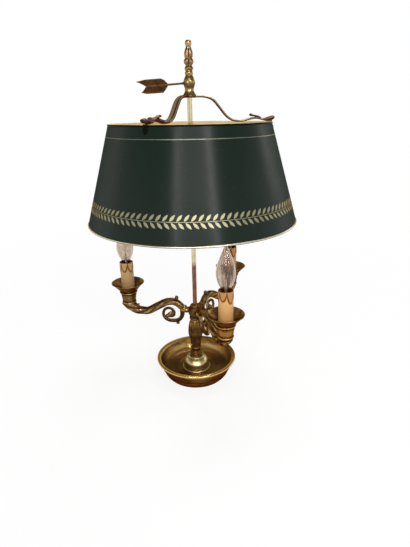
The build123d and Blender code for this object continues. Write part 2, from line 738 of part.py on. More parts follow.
# ---- Shade ----
TOP_BEAD_CENTRE = (SHADE_TOP_R - TOP_BEAD_R, SHADE_TOP_Z - TOP_BEAD_R)
BOTTOM_BEAD_CENTRE = (SHADE_BOTTOM_R - BOTTOM_BEAD_R, SHADE_BOTTOM_Z + BOTTOM_BEAD_R)
WALL_RUN = BOTTOM_BEAD_CENTRE[0] - TOP_BEAD_CENTRE[0]
WALL_DROP = TOP_BEAD_CENTRE[1] - BOTTOM_BEAD_CENTRE[1]
WALL_SLANT = hypot(WALL_RUN, WALL_DROP)
OUTWARD = (WALL_DROP / WALL_SLANT, WALL_RUN / WALL_SLANT)      # unit normal of the wall
DOWN_WALL = (WALL_RUN / WALL_SLANT, -WALL_DROP / WALL_SLANT)   # unit vector down the wall


def on_wall(down, out):
    """A point (radius, height) measured down the wall from the top bead and out from its middle."""
    radius = TOP_BEAD_CENTRE[0] + DOWN_WALL[0] * down + OUTWARD[0] * out
    height = TOP_BEAD_CENTRE[1] + DOWN_WALL[1] * down + OUTWARD[1] * out
    return (radius, height)


def make_shade_beads():
    top = Pos(0, 0, TOP_BEAD_CENTRE[1]) * Torus(TOP_BEAD_CENTRE[0], TOP_BEAD_R)
    bottom = Pos(0, 0, BOTTOM_BEAD_CENTRE[1]) * Torus(BOTTOM_BEAD_CENTRE[0], BOTTOM_BEAD_R)
    return top, bottom


def make_shade_shell(top_bead, bottom_bead, screws):
    half = SHADE_SHEET / 2
    wall = line(on_wall(0, -half), on_wall(0, half), on_wall(WALL_SLANT, half), on_wall(WALL_SLANT, -half))
    return turned(wall) - top_bead - bottom_bead - screws


# ---- Shade carrier ----
SCREW_DOWN = LIP_LENGTH * 0.62     # the screw's place down the wall from the top bead
LIP_INSIDE = SHADE_SHEET / 2 + LIP_CLEARANCE


def wall_frame(down):
    """A plane on the middle of the wall, built toward +X, with Z pointing out of the wall."""
    radius, height = on_wall(down, 0)
    return Plane((radius, 0, height), x_dir=(0, 1, 0), z_dir=(OUTWARD[0], 0, OUTWARD[1]))


def make_collar(straps, key_hole):
    bore = ROD_R + SLIDE_CLEARANCE
    bottom, top = COLLAR_BOTTOM_Z, COLLAR_TOP_Z
    flare_top = bottom + COLLAR_FLARE_H
    neck_z = COLLAR_BULB_Z + 10.6
    chamfer = COLLAR_FLARE_H * 0.24
    blank = turned(
        line(
            (bore, bottom),
            (COLLAR_FLARE_R - chamfer, bottom),
            (COLLAR_FLARE_R, bottom + chamfer),
            (COLLAR_FLARE_R, flare_top),
        ),
        curve(
            (COLLAR_FLARE_R, flare_top),
            (COLLAR_WAIST_R + 1.2, flare_top + 3.6),
            (COLLAR_WAIST_R, flare_top + 9.2),
            (COLLAR_BULB_R - 0.9, COLLAR_BULB_Z - 4.6),
            (COLLAR_BULB_R, COLLAR_BULB_Z),
            (COLLAR_BULB_R - 1.6, COLLAR_BULB_Z + 5.6),
            (COLLAR_NECK_R, neck_z),
        ),
        curve((COLLAR_NECK_R, neck_z), (COLLAR_NECK_R + 1.0, (neck_z + top) / 2), (COLLAR_NECK_R, top)),
        line((COLLAR_NECK_R, top), (bore, top)),
    )
    for strap in straps:
        blank = blank - strap
    return blank - key_hole


def by_rim(inward, above):
    """A point of the strap placed from the shade's rim: (inward, height above the rim)."""
    return (SHADE_TOP_R - inward, SHADE_TOP_Z + above)


def make_strap_plate():
    """The bent strap from the collar to the rim."""
    strap_line = [
        (ROD_R + 2.6, COLLAR_BOTTOM_Z + COLLAR_FLARE_H),
        (25.0, COLLAR_BOTTOM_Z + 2.7),
        (37.5, COLLAR_BOTTOM_Z - 2.4),
        (46.0, COLLAR_BOTTOM_Z - 11.5),
        by_rim(73.6, 11.2),
        by_rim(63.9, 5.0),
        by_rim(53.1, 3.2),
        by_rim(44.1, 3.6),
        by_rim(35.6, 5.5),
        by_rim(24.1, 7.0),
        by_rim(14.1, 4.9),
        by_rim(6.1, STRAP_T),
        by_rim(-LIP_T, STRAP_T),
    ]
    root, end = STRAP_ROOT_W / 2, STRAP_END_W / 2
    narrow_from, narrow_to = 30.0, 70.0
    past_rim = SHADE_TOP_R + 2 * LIP_T
    half = [(ROD_R, root), (narrow_from, root), (narrow_to, end), (past_rim, end)]
    return bent_plate(strap_line, STRAP_T, mirrored_outline(half))


def make_strap_leaf():
    """The cast leaf that rides above the strap's last arch."""
    leaf_line = [
        by_rim(34.1, 11.2),
        by_rim(29.1, 9.2),
        by_rim(22.1, 9.0),
        by_rim(14.1, 7.6),
        by_rim(5.1, 7.6),
        by_rim(-5.9, 9.2),
    ]
    inner_lobes = [(34.1, 0.2), (30.1, 0.7), (25.1, 0.55), (20.1, 1.0)]
    outer_lobes = [(14.1, 0.7), (8.1, 0.45), (2.1, 0.75), (-5.9, 1.0)]
    half = [(SHADE_TOP_R - inward, LEAF_HALF_W * share) for inward, share in inner_lobes + outer_lobes]
    notch = (SHADE_TOP_R + 2.4, 0)
    return bent_plate(leaf_line, LEAF_T, mirrored_outline(half, notch))


def mirrored_outline(half, *tip):
    """A closed outline from one half in (radius, Y), with optional points on its middle line."""
    return half + list(tip) + [(radius, -y) for radius, y in reversed(half)]


def make_carrier_strap():
    """One strap arm built toward +X, with its leaf and the lip that hooks over the shade's rim."""
    boss_x, boss_z = by_rim(22.1, 5.8)
    boss = Pos(boss_x, 0, 0) * rod(LEAF_BOSS_R, boss_z, boss_z + LEAF_T + 1.0)
    lip_top = -TOP_BEAD_R - 1.2
    lip_side = closed_face(line(
        on_wall(LIP_LENGTH, LIP_INSIDE),
        on_wall(LIP_LENGTH, LIP_INSIDE + LIP_T),
        on_wall(lip_top, LIP_INSIDE + LIP_T),
        on_wall(lip_top, LIP_INSIDE),
    ))
    lip = extrude(lip_side, amount=LIP_W / 2, both=True)
    bead_groove = Pos(0, 0, TOP_BEAD_CENTRE[1]) * Torus(TOP_BEAD_CENTRE[0], TOP_BEAD_R + LIP_CLEARANCE)
    screw_hole = wall_frame(SCREW_DOWN) * rod(SHADE_SCREW_R, -LIP_LENGTH, LIP_LENGTH)
    return make_strap_plate() + make_strap_leaf() + boss + lip - bead_groove - screw_hole


def make_shade_screw():
    """Round-headed screw through the lip and the wall, built toward +X."""
    seat = LIP_INSIDE + LIP_T
    crown = seat + SHADE_SCREW_HEAD_T
    shank = rod(SHADE_SCREW_R, -SHADE_SHEET / 2 - SHADE_NUT_T - SHADE_SCREW_PAST_NUT, seat)
    shoulder = (SHADE_SCREW_HEAD_R * 0.7, seat + SHADE_SCREW_HEAD_T * 0.8)
    head = turned(
        line((0, seat), (SHADE_SCREW_HEAD_R, seat)),
        curve((SHADE_SCREW_HEAD_R, seat), shoulder, (0, crown)),
    )
    return wall_frame(SCREW_DOWN) * (shank + head)


def make_shade_nut():
    outline = RegularPolygon(SHADE_NUT_ACROSS_FLATS / 2, 6, major_radius=False) - Circle(SHADE_SCREW_R)
    inside = -SHADE_SHEET / 2 - SHADE_NUT_GAP - SHADE_NUT_T
    return wall_frame(SCREW_DOWN) * Pos(0, 0, inside) * extrude(outline, amount=SHADE_NUT_T)


# ---- Rod and finial ----
def make_shade_rod():
    return rod(ROD_R, ROD_SEAT_Z + ROD_END_GAP, ROD_TOP_Z)


def spindle(radius, half_length):
    """A round-bellied solid with a point at each end, centred on the origin."""
    return turned(curve(
        (0, -half_length),
        (radius * 0.8, -half_length * 0.55),
        (radius, 0),
        (radius * 0.8, half_length * 0.55),
        (0, half_length),
    ))


def make_finial():
    base, height = FINIAL_BASE_Z, FINIAL_H
    core_bottom, core_top = base + height * 0.155, base + height * 0.76
    core = turned(
        line((ROD_R, base), (FINIAL_DISC_R - 1.2, base)),
        curve(
            (FINIAL_DISC_R - 1.2, base),
            (FINIAL_DISC_R, base + height * 0.065),
            (FINIAL_CORE_R, core_bottom),
        ),
        curve(
            (FINIAL_CORE_R, core_bottom),
            (FINIAL_CORE_R + 0.5, base + height * 0.29),
            (FINIAL_CORE_R - 0.4, base + height * 0.42),
            (FINIAL_CORE_R, base + height * 0.56),
            (FINIAL_CORE_R - 1.0, core_top),
        ),
        curve(
            (FINIAL_CORE_R - 1.0, core_top),
            (FINIAL_KNOB_R, base + height * 0.88),
            (FINIAL_KNOB_R * 0.7, base + height * 0.97),
            (0, base + height),
        ),
        line((0, base + height), (0, ROD_TOP_Z), (ROD_R, ROD_TOP_Z)),
    )
    low_lobe = Pos(LOW_LOBE_OUT, 0, base + height * 0.28) * spindle(LOBE_R, height * 0.14)
    high_lobe = Pos(HIGH_LOBE_OUT, 0, base + height * 0.53) * spindle(LOBE_R, height * 0.16)
    finial = core
    for index in range(FINIAL_LOBES):
        turn = Rot(0, 0, 360 / FINIAL_LOBES * (index + 0.5))
        finial = finial + turn * low_lobe + turn * high_lobe
    return finial - rod(ROD_R, base, ROD_TOP_Z)


# ---- Arrow key ----
KEY_AXIS = (cos(radians(KEY_DROOP)), 0, -sin(radians(KEY_DROOP)))
KEY_FRAME = Plane((0, 0, COLLAR_BULB_Z), z_dir=KEY_AXIS, x_dir=(0, 1, 0))


def make_key_hole():
    hole = rod(KEY_SHANK_R + RUNNING_CLEARANCE, 0, COLLAR_BULB_R + 3 * KEY_SHANK_PROUD)
    return facing(KEY_AZIMUTH) * (KEY_FRAME * hole)


def make_arrow_key():
    """Clamp screw with a flat fletching, built along the Z axis and laid in its hole."""
    fletch_start = KEY_LENGTH - FLETCH_LENGTH
    shank_end = COLLAR_BULB_R + KEY_SHANK_PROUD
    shank = rod(KEY_SHANK_R, ROD_R + KEY_TIP_GAP, shank_end)
    shaft = rod(KEY_SHAFT_R, shank_end, fletch_start + KEY_SHAFT_IN_FLETCH)
    half_w = FLETCH_HALF_W
    upper_edge = [
        (fletch_start, KEY_SHAFT_R),
        (fletch_start + 5.0, half_w * 0.66),
        (fletch_start + 10.5, half_w * 0.90),
        (KEY_LENGTH - FLETCH_NOTCH, half_w * 0.92),
        (KEY_LENGTH, half_w * 0.73),
    ]
    lower_edge = [
        (fletch_start, -KEY_SHAFT_R),
        (fletch_start + 4.0, -half_w * 0.62),
        (fletch_start + 8.5, -half_w),
        (KEY_LENGTH - FLETCH_NOTCH, -half_w * 0.96),
        (KEY_LENGTH - FLETCH_STAGGER, -half_w * 0.75),
    ]
    notch = (KEY_LENGTH - FLETCH_NOTCH, 0)
    outline = Polyline(*upper_edge, notch, *reversed(lower_edge), close=True)
    fletch = extrude(make_face(outline), amount=FLETCH_T / 2, both=True)
    upright = Plane((0, 0, 0), x_dir=(0, 0, 1), z_dir=(-1, 0, 0))
    return facing(KEY_AZIMUTH) * (KEY_FRAME * (shank + shaft + upright * fletch))


# ---- Assembly ----
def build_base_and_stem():
    return {
        "base_dish": make_base_dish(),
        "foot_ring": make_foot_ring(),
        "base_weight": make_base_weight(),
        "felt_pad": rod(FELT_R, 0, FELT_T),
        "inlet_bushing": make_inlet_bushing(),
        "base_washer": tube(WASHER_R, TUBE_BORE_R, WEB_UNDER_Z - WASHER_T, WEB_UNDER_Z),
        "base_nut": make_base_nut(),
        "stem_tube": make_stem_tube(),
        "stem_foot": make_stem_foot(),
        "stem_column": make_stem_column(),
        "hub_cap": make_hub_cap(),
    }


def build_candles():
    pieces = {
        "candle_cup": make_candle_cup(),
        "drip_pan": make_drip_pan(),
        "socket_nipple": make_nipple(),
        "lamp_socket": make_lamp_socket(),
        "candle_sleeve": make_candle_sleeve(),
        "bulb_glass": make_bulb_glass(),
        "bulb_base": make_bulb_base(),
    }
    mount = make_bulb_mount()
    candles = {}
    for place, azimuth in ARM_AZIMUTH.items():
        for name, piece in pieces.items():
            candles[f"{name}_{place}"] = at_candle(azimuth) * piece
        candles[f"bulb_mount_{place}"] = at_candle(azimuth) * Rot(0, 0, azimuth) * mount
    return candles


def build_shade():
    strap = make_carrier_strap()
    straps = {place: facing(azimuth) * strap for place, azimuth in CARRIER_AZIMUTHS.items()}
    screw, nut = make_shade_screw(), make_shade_nut()
    screws = [facing(azimuth) * screw for azimuth in CARRIER_AZIMUTHS.values()]
    nuts = [facing(azimuth) * nut for azimuth in CARRIER_AZIMUTHS.values()]
    top_bead, bottom_bead = make_shade_beads()
    shade = {f"carrier_arm_{place}": piece for place, piece in straps.items()}
    shade["carrier_collar"] = make_collar(straps.values(), make_key_hole())
    shade["shade_shell"] = make_shade_shell(top_bead, bottom_bead, screws)
    shade["shade_top_bead"] = top_bead
    shade["shade_bottom_bead"] = bottom_bead
    shade["shade_screws"] = Compound(children=screws)
    shade["shade_nuts"] = Compound(children=nuts)
    return shade


def build_lamp():
    lamp = build_base_and_stem()
    arm = make_candle_arm()
    arms = {place: facing(azimuth) * arm for place, azimuth in ARM_AZIMUTH.items()}
    lamp.update({f"candle_arm_{place}": piece for place, piece in arms.items()})
    lamp["arm_hub"] = make_arm_hub(arms.values())
    lamp.update(build_candles())
    lamp["shade_rod"] = make_shade_rod()
    lamp["finial"] = make_finial()
    lamp.update(build_shade())
    lamp["arrow_key"] = make_arrow_key()
    return lamp


if __name__ == "__main__":
    for node, shape in build_lamp().items():
        export_step(shape, f"parts/{node}.step")
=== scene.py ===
"""Looks of a bouillotte lamp: a brass dish and stem, three candle arms, a green painted shade on a
sliding carrier, and an arrow-shaped clamp key. Shapes are written in millimetres and made in metres.
"""

from math import atan2, cos, degrees, hypot, pi, radians, sin

import bmesh
import bpy
import numpy as np
from mathutils import Matrix, Vector


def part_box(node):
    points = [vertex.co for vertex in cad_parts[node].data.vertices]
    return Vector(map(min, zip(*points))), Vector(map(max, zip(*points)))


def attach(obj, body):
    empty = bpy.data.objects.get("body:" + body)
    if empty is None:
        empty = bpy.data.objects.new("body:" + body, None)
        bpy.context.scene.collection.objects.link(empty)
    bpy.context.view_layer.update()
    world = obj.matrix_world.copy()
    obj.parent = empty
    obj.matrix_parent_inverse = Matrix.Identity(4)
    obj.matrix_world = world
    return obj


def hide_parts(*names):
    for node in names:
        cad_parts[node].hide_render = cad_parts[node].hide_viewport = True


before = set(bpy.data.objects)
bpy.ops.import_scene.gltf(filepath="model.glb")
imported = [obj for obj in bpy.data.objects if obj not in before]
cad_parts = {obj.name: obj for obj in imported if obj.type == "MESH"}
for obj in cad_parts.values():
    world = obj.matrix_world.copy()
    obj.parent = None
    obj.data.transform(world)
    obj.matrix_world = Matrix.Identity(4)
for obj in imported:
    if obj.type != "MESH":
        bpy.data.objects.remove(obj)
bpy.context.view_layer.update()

MM = 0.001
PLACES = ("front", "back", "left")
STRAP_PLACES = ("left", "right", "back")
CRISP = 38.0               # degrees between two faces from which their edge is drawn sharp
ROUND = 128                # faces round a turned piece
BORE_R = 5.1               # hole of the pieces that a threaded tube or nipple runs through
ROD_PLAY = 0.06            # the cap's bore is this much wider than the rod
COLLAR_PLAY = 0.08         # and the collar's bore this much
ARM_RISE = 8.3             # an arm's end above its root
CAP_HIGH = 5.0
ON_AXIS = 0.01             # points this near the axis take no relief
COLLAR_BULB_UP = 21.4      # the middle of the collar's bulb above its lower edge


# ---- Places read from the frame, in millimetres ----
def span(node):
    """The lowest and highest corner of a CAD node, in millimetres."""
    low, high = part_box(node)
    return low / MM, high / MM


def middle(node):
    low, high = span(node)
    return (low + high) / 2


CANDLE_AXES = {place: middle(f"candle_sleeve_{place}") for place in PLACES}
ARM_REACH = hypot(CANDLE_AXES["front"].x, CANDLE_AXES["front"].y)
ARM_END_Z = span("candle_cup_front")[0].z
HUB_MID_Z = ARM_END_Z - ARM_RISE
COLUMN_TOP_Z = span("stem_column")[1].z
DOME_TOP_Z = span("stem_foot")[1].z
DISH_FLOOR_Z = span("stem_foot")[0].z
HUB_CAP_TOP_Z = span("hub_cap")[1].z
HUB_TOP_Z = HUB_CAP_TOP_Z - CAP_HIGH
PAN_UNDER_Z = span("drip_pan_front")[0].z
SLEEVE_BOTTOM_Z = span("candle_sleeve_front")[0].z
SLEEVE_TOP_Z = span("candle_sleeve_front")[1].z
GLASS_BOTTOM_Z = span("bulb_glass_front")[0].z
GLASS_TOP_Z = span("bulb_glass_front")[1].z
SHADE_TOP_Z = span("shade_top_bead")[1].z
SHADE_TOP_R = span("shade_top_bead")[1].x
SHADE_BOTTOM_Z = span("shade_bottom_bead")[0].z
SHADE_BOTTOM_R = span("shade_bottom_bead")[1].x
COLLAR_BOTTOM_Z = span("carrier_collar")[0].z
COLLAR_TOP_Z = span("carrier_collar")[1].z
COLLAR_BULB_Z = COLLAR_BOTTOM_Z + COLLAR_BULB_UP
FINIAL_BOTTOM_Z = span("finial")[0].z
FINIAL_TOP_Z = span("finial")[1].z
ROD_BOTTOM_Z = span("shade_rod")[0].z
ROD_TOP_Z = span("shade_rod")[1].z
ROD_R = span("shade_rod")[1].x


def azimuth_of(point):
    """Degrees from -Y, positive toward +X."""
    return degrees(atan2(point.x, -point.y))


ARM_AZIMUTHS = {place: azimuth_of(axis) for place, axis in CANDLE_AXES.items()}
STRAP_AZIMUTHS = {place: azimuth_of(middle(f"carrier_arm_{place}")) for place in STRAP_PLACES}


def facing(azimuth):
    """Turns a mesh built toward +X to point along an azimuth."""
    return Matrix.Rotation(radians(azimuth - 90), 4, "Z")


# ---- Outlines ----
def flow(*points, steps=6, base=0.0):
    """A smooth line through the points (Catmull-Rom), with the given steps between two of them and the
    heights counted from base."""
    known = np.array(points, float) + (0.0, base)
    padded = np.vstack([2 * known[0] - known[1], known, 2 * known[-1] - known[-2]])
    line = []
    for index in range(len(known) - 1):
        a, b, c, d = padded[index:index + 4]
        for t in np.arange(steps) / steps:
            line.append(0.5 * (2 * b + (c - a) * t + (2 * a - 5 * b + 4 * c - d) * t**2
                               + (3 * b - a - 3 * c + d) * t**3))
    return [tuple(point) for point in line] + [tuple(known[-1])]


def arc(centre_r, centre_z, radius, start, end, steps):
    """Points of an arc in (radius, height), from one angle to another in degrees."""
    angles = np.radians(np.linspace(start, end, steps + 1))
    return [(centre_r + radius * cos(a), centre_z + radius * sin(a)) for a in angles]


# ---- Meshes ----
def placed(name, data):
    """A new object in the scene."""
    result = bpy.data.objects.new(name, data)
    bpy.context.scene.collection.objects.link(result)
    return result


def finish_mesh(mesh):
    """Merges doubles, turns the faces outward, and shades smooth but for crisp edges."""
    work = bmesh.new()
    work.from_mesh(mesh)
    bmesh.ops.remove_doubles(work, verts=work.verts, dist=1e-6)
    bmesh.ops.dissolve_degenerate(work, edges=work.edges, dist=1e-7)
    bmesh.ops.recalc_face_normals(work, faces=work.faces)
    for face in work.faces:
        face.smooth = True
    limit = radians(CRISP)
    for edge in work.edges:
        edge.smooth = len(edge.link_faces) == 2 and edge.calc_face_angle(0) < limit
    work.to_mesh(mesh)
    work.free()


def make_object(name, points, faces, marks=None):
    """A mesh object in metres from points in millimetres, with a value per point for each mark."""
    mesh = bpy.data.meshes.new(name)
    mesh.from_pydata((np.array(points) * MM).tolist(), [], faces)
    for mark, values in (marks or {}).items():
        attribute = mesh.attributes.new(mark, "FLOAT", "POINT")
        attribute.data.foreach_set("value", np.ravel(values).astype(np.float32))
    finish_mesh(mesh)
    return placed(name, mesh)


def grid_faces(rows, columns, close_rows):
    """Quads of a grid whose columns close into a ring, and whose rows may do so too."""
    faces = []
    for row in range(rows if close_rows else rows - 1):
        below, above = row * columns, (row + 1) % rows * columns
        for column in range(columns):
            beside = (column + 1) % columns
            faces.append((below + column, below + beside, above + beside, above + column))
    return faces


def ring_points(angles, radius, height):
    """Points of a ring about Z."""
    return np.stack([radius * np.cos(angles), radius * np.sin(angles), np.full(len(angles), height)], 1)


def turned(name, outline, relief=None, around=ROUND, closed=True):
    """A piece turned about Z from an outline in (radius, height). relief(angles, radius, height) gives
    how far each point of a ring stands out, and how dark it is from 0 to 1: patina in its hollows, and
    on some pieces painted shade and painted highlight."""
    angles = np.linspace(0, 2 * pi, around, endpoint=False)
    points, patina_and_shade_rings = [], []
    for radius, height in outline:
        out, patina_and_shade = relief(angles, radius, height) if relief else (0, 0)
        points.append(ring_points(angles, np.full(around, radius) + out * (radius > ON_AXIS), height))
        patina_and_shade_rings.append(np.full(around, patina_and_shade) if np.isscalar(patina_and_shade) else patina_and_shade)
    faces = grid_faces(len(outline), around, closed)
    return make_object(name, np.concatenate(points), faces, {"patina_and_shade": np.concatenate(patina_and_shade_rings)})


def swept(name, path, half_widths, half_heights, relief=None, around=24):
    """A bar along a path in the XZ plane. Its half width is along Y and its half height across the
    path; relief(angles, share) scales each ring and gives how dark it is: patina in its hollows, and
    on some pieces painted shade and painted highlight."""
    centres = np.array([(x, 0, z) for x, z in path], float)
    count = len(centres)
    along = np.gradient(centres, axis=0)
    along /= np.linalg.norm(along, axis=1)[:, None]
    side = np.array((0.0, 1.0, 0.0))
    shares = np.linspace(0, 1, count)
    widths = np.interp(shares, np.linspace(0, 1, len(half_widths)), half_widths)
    heights = np.interp(shares, np.linspace(0, 1, len(half_heights)), half_heights)
    angles = np.linspace(0, 2 * pi, around, endpoint=False)
    points, patina_and_shade_rings = [], []
    for index in range(count):
        up = np.cross(along[index], side)
        scale, patina_and_shade = relief(angles, shares[index]) if relief else (1.0, np.zeros(around))
        ring = (centres[index] + np.outer(np.cos(angles) * widths[index] * scale, side)
                + np.outer(np.sin(angles) * heights[index] * scale, up))
        points.append(ring)
        patina_and_shade_rings.append(patina_and_shade)
    faces = grid_faces(count, around, False)
    faces.append(tuple(range(around)))
    faces.append(tuple(range((count - 1) * around, count * around)))
    return make_object(name, np.concatenate(points), faces, {"patina_and_shade": np.concatenate(patina_and_shade_rings)})


def remove(piece):
    mesh = piece.data
    bpy.data.objects.remove(piece)
    bpy.data.meshes.remove(mesh)


def joined(name, pieces):
    """One object from several, with their meshes' marks kept."""
    work = bmesh.new()
    for piece in pieces:
        work.from_mesh(piece.data)
    mesh = bpy.data.meshes.new(name)
    work.to_mesh(mesh)
    work.free()
    for piece in pieces:
        remove(piece)
    return placed(name, mesh)


def copied(piece, name, place):
    """A copy of a piece with its mesh moved by a matrix in metres."""
    mesh = piece.data.copy()
    mesh.name = name
    mesh.transform(place)
    return placed(name, mesh)


def coat(piece, finish):
    """Makes a finish the piece's only material."""
    piece.data.materials.clear()
    piece.data.materials.append(FINISH[finish])


def dress(piece, finish, slot, body, *nodes):
    """Gives a finished piece its finish and the body it moves with, and hides the nodes it stands for; slot
    is not used.
    """
    coat(piece, finish)
    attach(piece, body)
    if nodes:
        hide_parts(*nodes)


# ---- Geometry Nodes ----
def new_tree(name, inputs):
    """A geometry node tree with named inputs, its group input node and its group output node."""
    tree = bpy.data.node_groups.new(name, "GeometryNodeTree")
    tree.interface.new_socket("Geometry", in_out="INPUT", socket_type="NodeSocketGeometry")
    for label, kind in inputs:
        tree.interface.new_socket(label, in_out="INPUT", socket_type=kind)
    tree.interface.new_socket("Geometry", in_out="OUTPUT", socket_type="NodeSocketGeometry")
    return tree, tree.nodes.new("NodeGroupInput"), tree.nodes.new("NodeGroupOutput")


def apply_tree(piece, tree, values):
    """Runs a tree on a piece with its named inputs set, and makes the result a plain mesh."""
    modifier = piece.modifiers.new(tree.name, "NODES")
    modifier.node_group = tree
    for socket in tree.interface.items_tree:
        if socket.in_out == "INPUT" and socket.name in values:
            modifier[socket.identifier] = values[socket.name]
    depsgraph = bpy.context.evaluated_depsgraph_get()
    mesh = bpy.data.meshes.new_from_object(piece.evaluated_get(depsgraph))
    name = piece.name
    bpy.data.objects.remove(piece)
    finish_mesh(mesh)
    return placed(name, mesh)


def connect(tree, *pairs):
    """Links each output to its input."""
    for source, target in pairs:
        tree.links.new(source, target)


def make_ring_tree():
    """Repeats the incoming piece around the Z axis."""
    sizes = [("Count", "NodeSocketInt"), ("Material", "NodeSocketMaterial")]
    tree, start, end = new_tree("repeat_around", sizes)
    nodes = tree.nodes
    line = nodes.new("GeometryNodeMeshLine")
    line.inputs["Offset"].default_value = (0, 0, 0)
    index = nodes.new("GeometryNodeInputIndex")
    share = nodes.new("ShaderNodeMath")
    share.operation = "DIVIDE"
    turn = nodes.new("ShaderNodeMath")
    turn.operation = "MULTIPLY"
    turn.inputs[1].default_value = 2 * pi
    rotation = nodes.new("ShaderNodeCombineXYZ")
    instance = nodes.new("GeometryNodeInstanceOnPoints")
    realize = nodes.new("GeometryNodeRealizeInstances")
    paint = nodes.new("GeometryNodeSetMaterial")
    connect(tree,
            (start.outputs["Count"], line.inputs["Count"]),
            (index.outputs[0], share.inputs[0]),
            (start.outputs["Count"], share.inputs[1]),
            (share.outputs[0], turn.inputs[0]),
            (turn.outputs[0], rotation.inputs["Z"]),
            (line.outputs["Mesh"], instance.inputs["Points"]),
            (start.outputs["Geometry"], instance.inputs["Instance"]),
            (rotation.outputs[0], instance.inputs["Rotation"]),
            (instance.outputs[0], realize.inputs[0]),
            (realize.outputs[0], paint.inputs["Geometry"]),
            (start.outputs["Material"], paint.inputs["Material"]),
            (paint.outputs[0], end.inputs[0]))
    return tree


def make_cone_wall_tree():
    """A cone of sheet metal, open at both ends."""
    lengths = ("Bottom radius", "Top radius", "Height", "Bottom height", "Sheet")
    sizes = [("Faces round", "NodeSocketInt"), ("Rows", "NodeSocketInt"),
             *[(length, "NodeSocketFloat") for length in lengths], ("Material", "NodeSocketMaterial")]
    tree, start, end = new_tree("cone_wall", sizes)
    nodes = tree.nodes
    cone = nodes.new("GeometryNodeMeshCone")
    cone.fill_type = "NONE"
    place = nodes.new("ShaderNodeCombineXYZ")
    move = nodes.new("GeometryNodeTransform")
    outer = nodes.new("GeometryNodeExtrudeMesh")
    outer.inputs["Individual"].default_value = False
    inner = nodes.new("GeometryNodeFlipFaces")
    both = nodes.new("GeometryNodeJoinGeometry")
    merge = nodes.new("GeometryNodeMergeByDistance")
    merge.inputs["Distance"].default_value = 1e-6
    paint = nodes.new("GeometryNodeSetMaterial")
    connect(tree,
            (start.outputs["Faces round"], cone.inputs["Vertices"]),
            (start.outputs["Rows"], cone.inputs["Side Segments"]),
            (start.outputs["Bottom radius"], cone.inputs["Radius Bottom"]),
            (start.outputs["Top radius"], cone.inputs["Radius Top"]),
            (start.outputs["Height"], cone.inputs["Depth"]),
            (start.outputs["Bottom height"], place.inputs["Z"]),
            (cone.outputs["Mesh"], move.inputs["Geometry"]),
            (place.outputs[0], move.inputs["Translation"]),
            (move.outputs[0], outer.inputs["Mesh"]),
            (start.outputs["Sheet"], outer.inputs["Offset Scale"]),
            (move.outputs[0], inner.inputs[0]),
            (inner.outputs[0], both.inputs[0]),
            (outer.outputs["Mesh"], both.inputs[0]),
            (both.outputs[0], merge.inputs["Geometry"]),
            (merge.outputs[0], paint.inputs["Geometry"]),
            (start.outputs["Material"], paint.inputs["Material"]),
            (paint.outputs[0], end.inputs[0]))
    return tree


RING_TREE = make_ring_tree()
CONE_WALL_TREE = make_cone_wall_tree()


def repeated(piece, count, material):
    return apply_tree(piece, RING_TREE, {"Count": count, "Material": material})


# ---- Materials ----
def new_material(name):
    material = bpy.data.materials.new(name)
    material.use_nodes = True
    return material, material.node_tree, material.node_tree.nodes["Principled BSDF"]


def feed(socket, value):
    """Links an output to an input socket, or sets the socket's value, with alpha for a colour."""
    if isinstance(value, bpy.types.NodeSocket):
        socket.id_data.links.new(value, socket)
    elif socket.type == "RGBA":
        socket.default_value = (*value, 1.0)
    else:
        socket.default_value = value


def fill(node, **values):
    """Feeds a node's inputs by name, where an underscore stands for a space."""
    for label, value in values.items():
        feed(node.inputs[label.replace("_", " ")], value)
    return node


def add(tree, kind, **values):
    return fill(tree.nodes.new(kind), **values)


def noise(tree, scale, detail=4.0, roughness=0.55, distortion=0.0):
    """Noise on Object coordinates, with the scale in cells per metre."""
    place = tree.nodes.new("ShaderNodeTexCoord")
    texture = add(tree, "ShaderNodeTexNoise", Vector=place.outputs["Object"], Scale=scale, Detail=detail,
                  Roughness=roughness, Distortion=distortion)
    return texture.outputs["Fac"]


def mark(tree, name):
    attribute = tree.nodes.new("ShaderNodeAttribute")
    attribute.attribute_name = name
    return attribute.outputs["Fac"]


def spread(tree, value, low, high, to_low=0.0, to_high=1.0):
    """The value stretched from one range to another, and held inside it."""
    node = add(tree, "ShaderNodeMapRange", Value=value, From_Min=low, From_Max=high, To_Min=to_low,
               To_Max=to_high)
    return node.outputs["Result"]


def blend(tree, factor, first, second):
    """Two colours, or a colour and a socket, mixed by a factor."""
    node = tree.nodes.new("ShaderNodeMix")
    node.data_type = "RGBA"
    feed(node.inputs["Factor"], factor)
    feed(node.inputs[6], first)
    feed(node.inputs[7], second)
    return node.outputs[2]


def combine(tree, operation, first, second):
    """A sum, product or maximum, held between 0 and 1."""
    node = tree.nodes.new("ShaderNodeMath")
    node.operation = operation
    node.use_clamp = True
    feed(node.inputs[0], first)
    feed(node.inputs[1], second)
    return node.outputs[0]


def bump(tree, shader, height, distance, strength=1.0):
    """Adds relief to a shader, on top of the relief that it has already."""
    node = add(tree, "ShaderNodeBump", Height=height, Distance=distance, Strength=strength)
    for earlier in [link.from_socket for link in shader.inputs["Normal"].links]:
        feed(node.inputs["Normal"], earlier)
    feed(shader.inputs["Normal"], node.outputs[0])


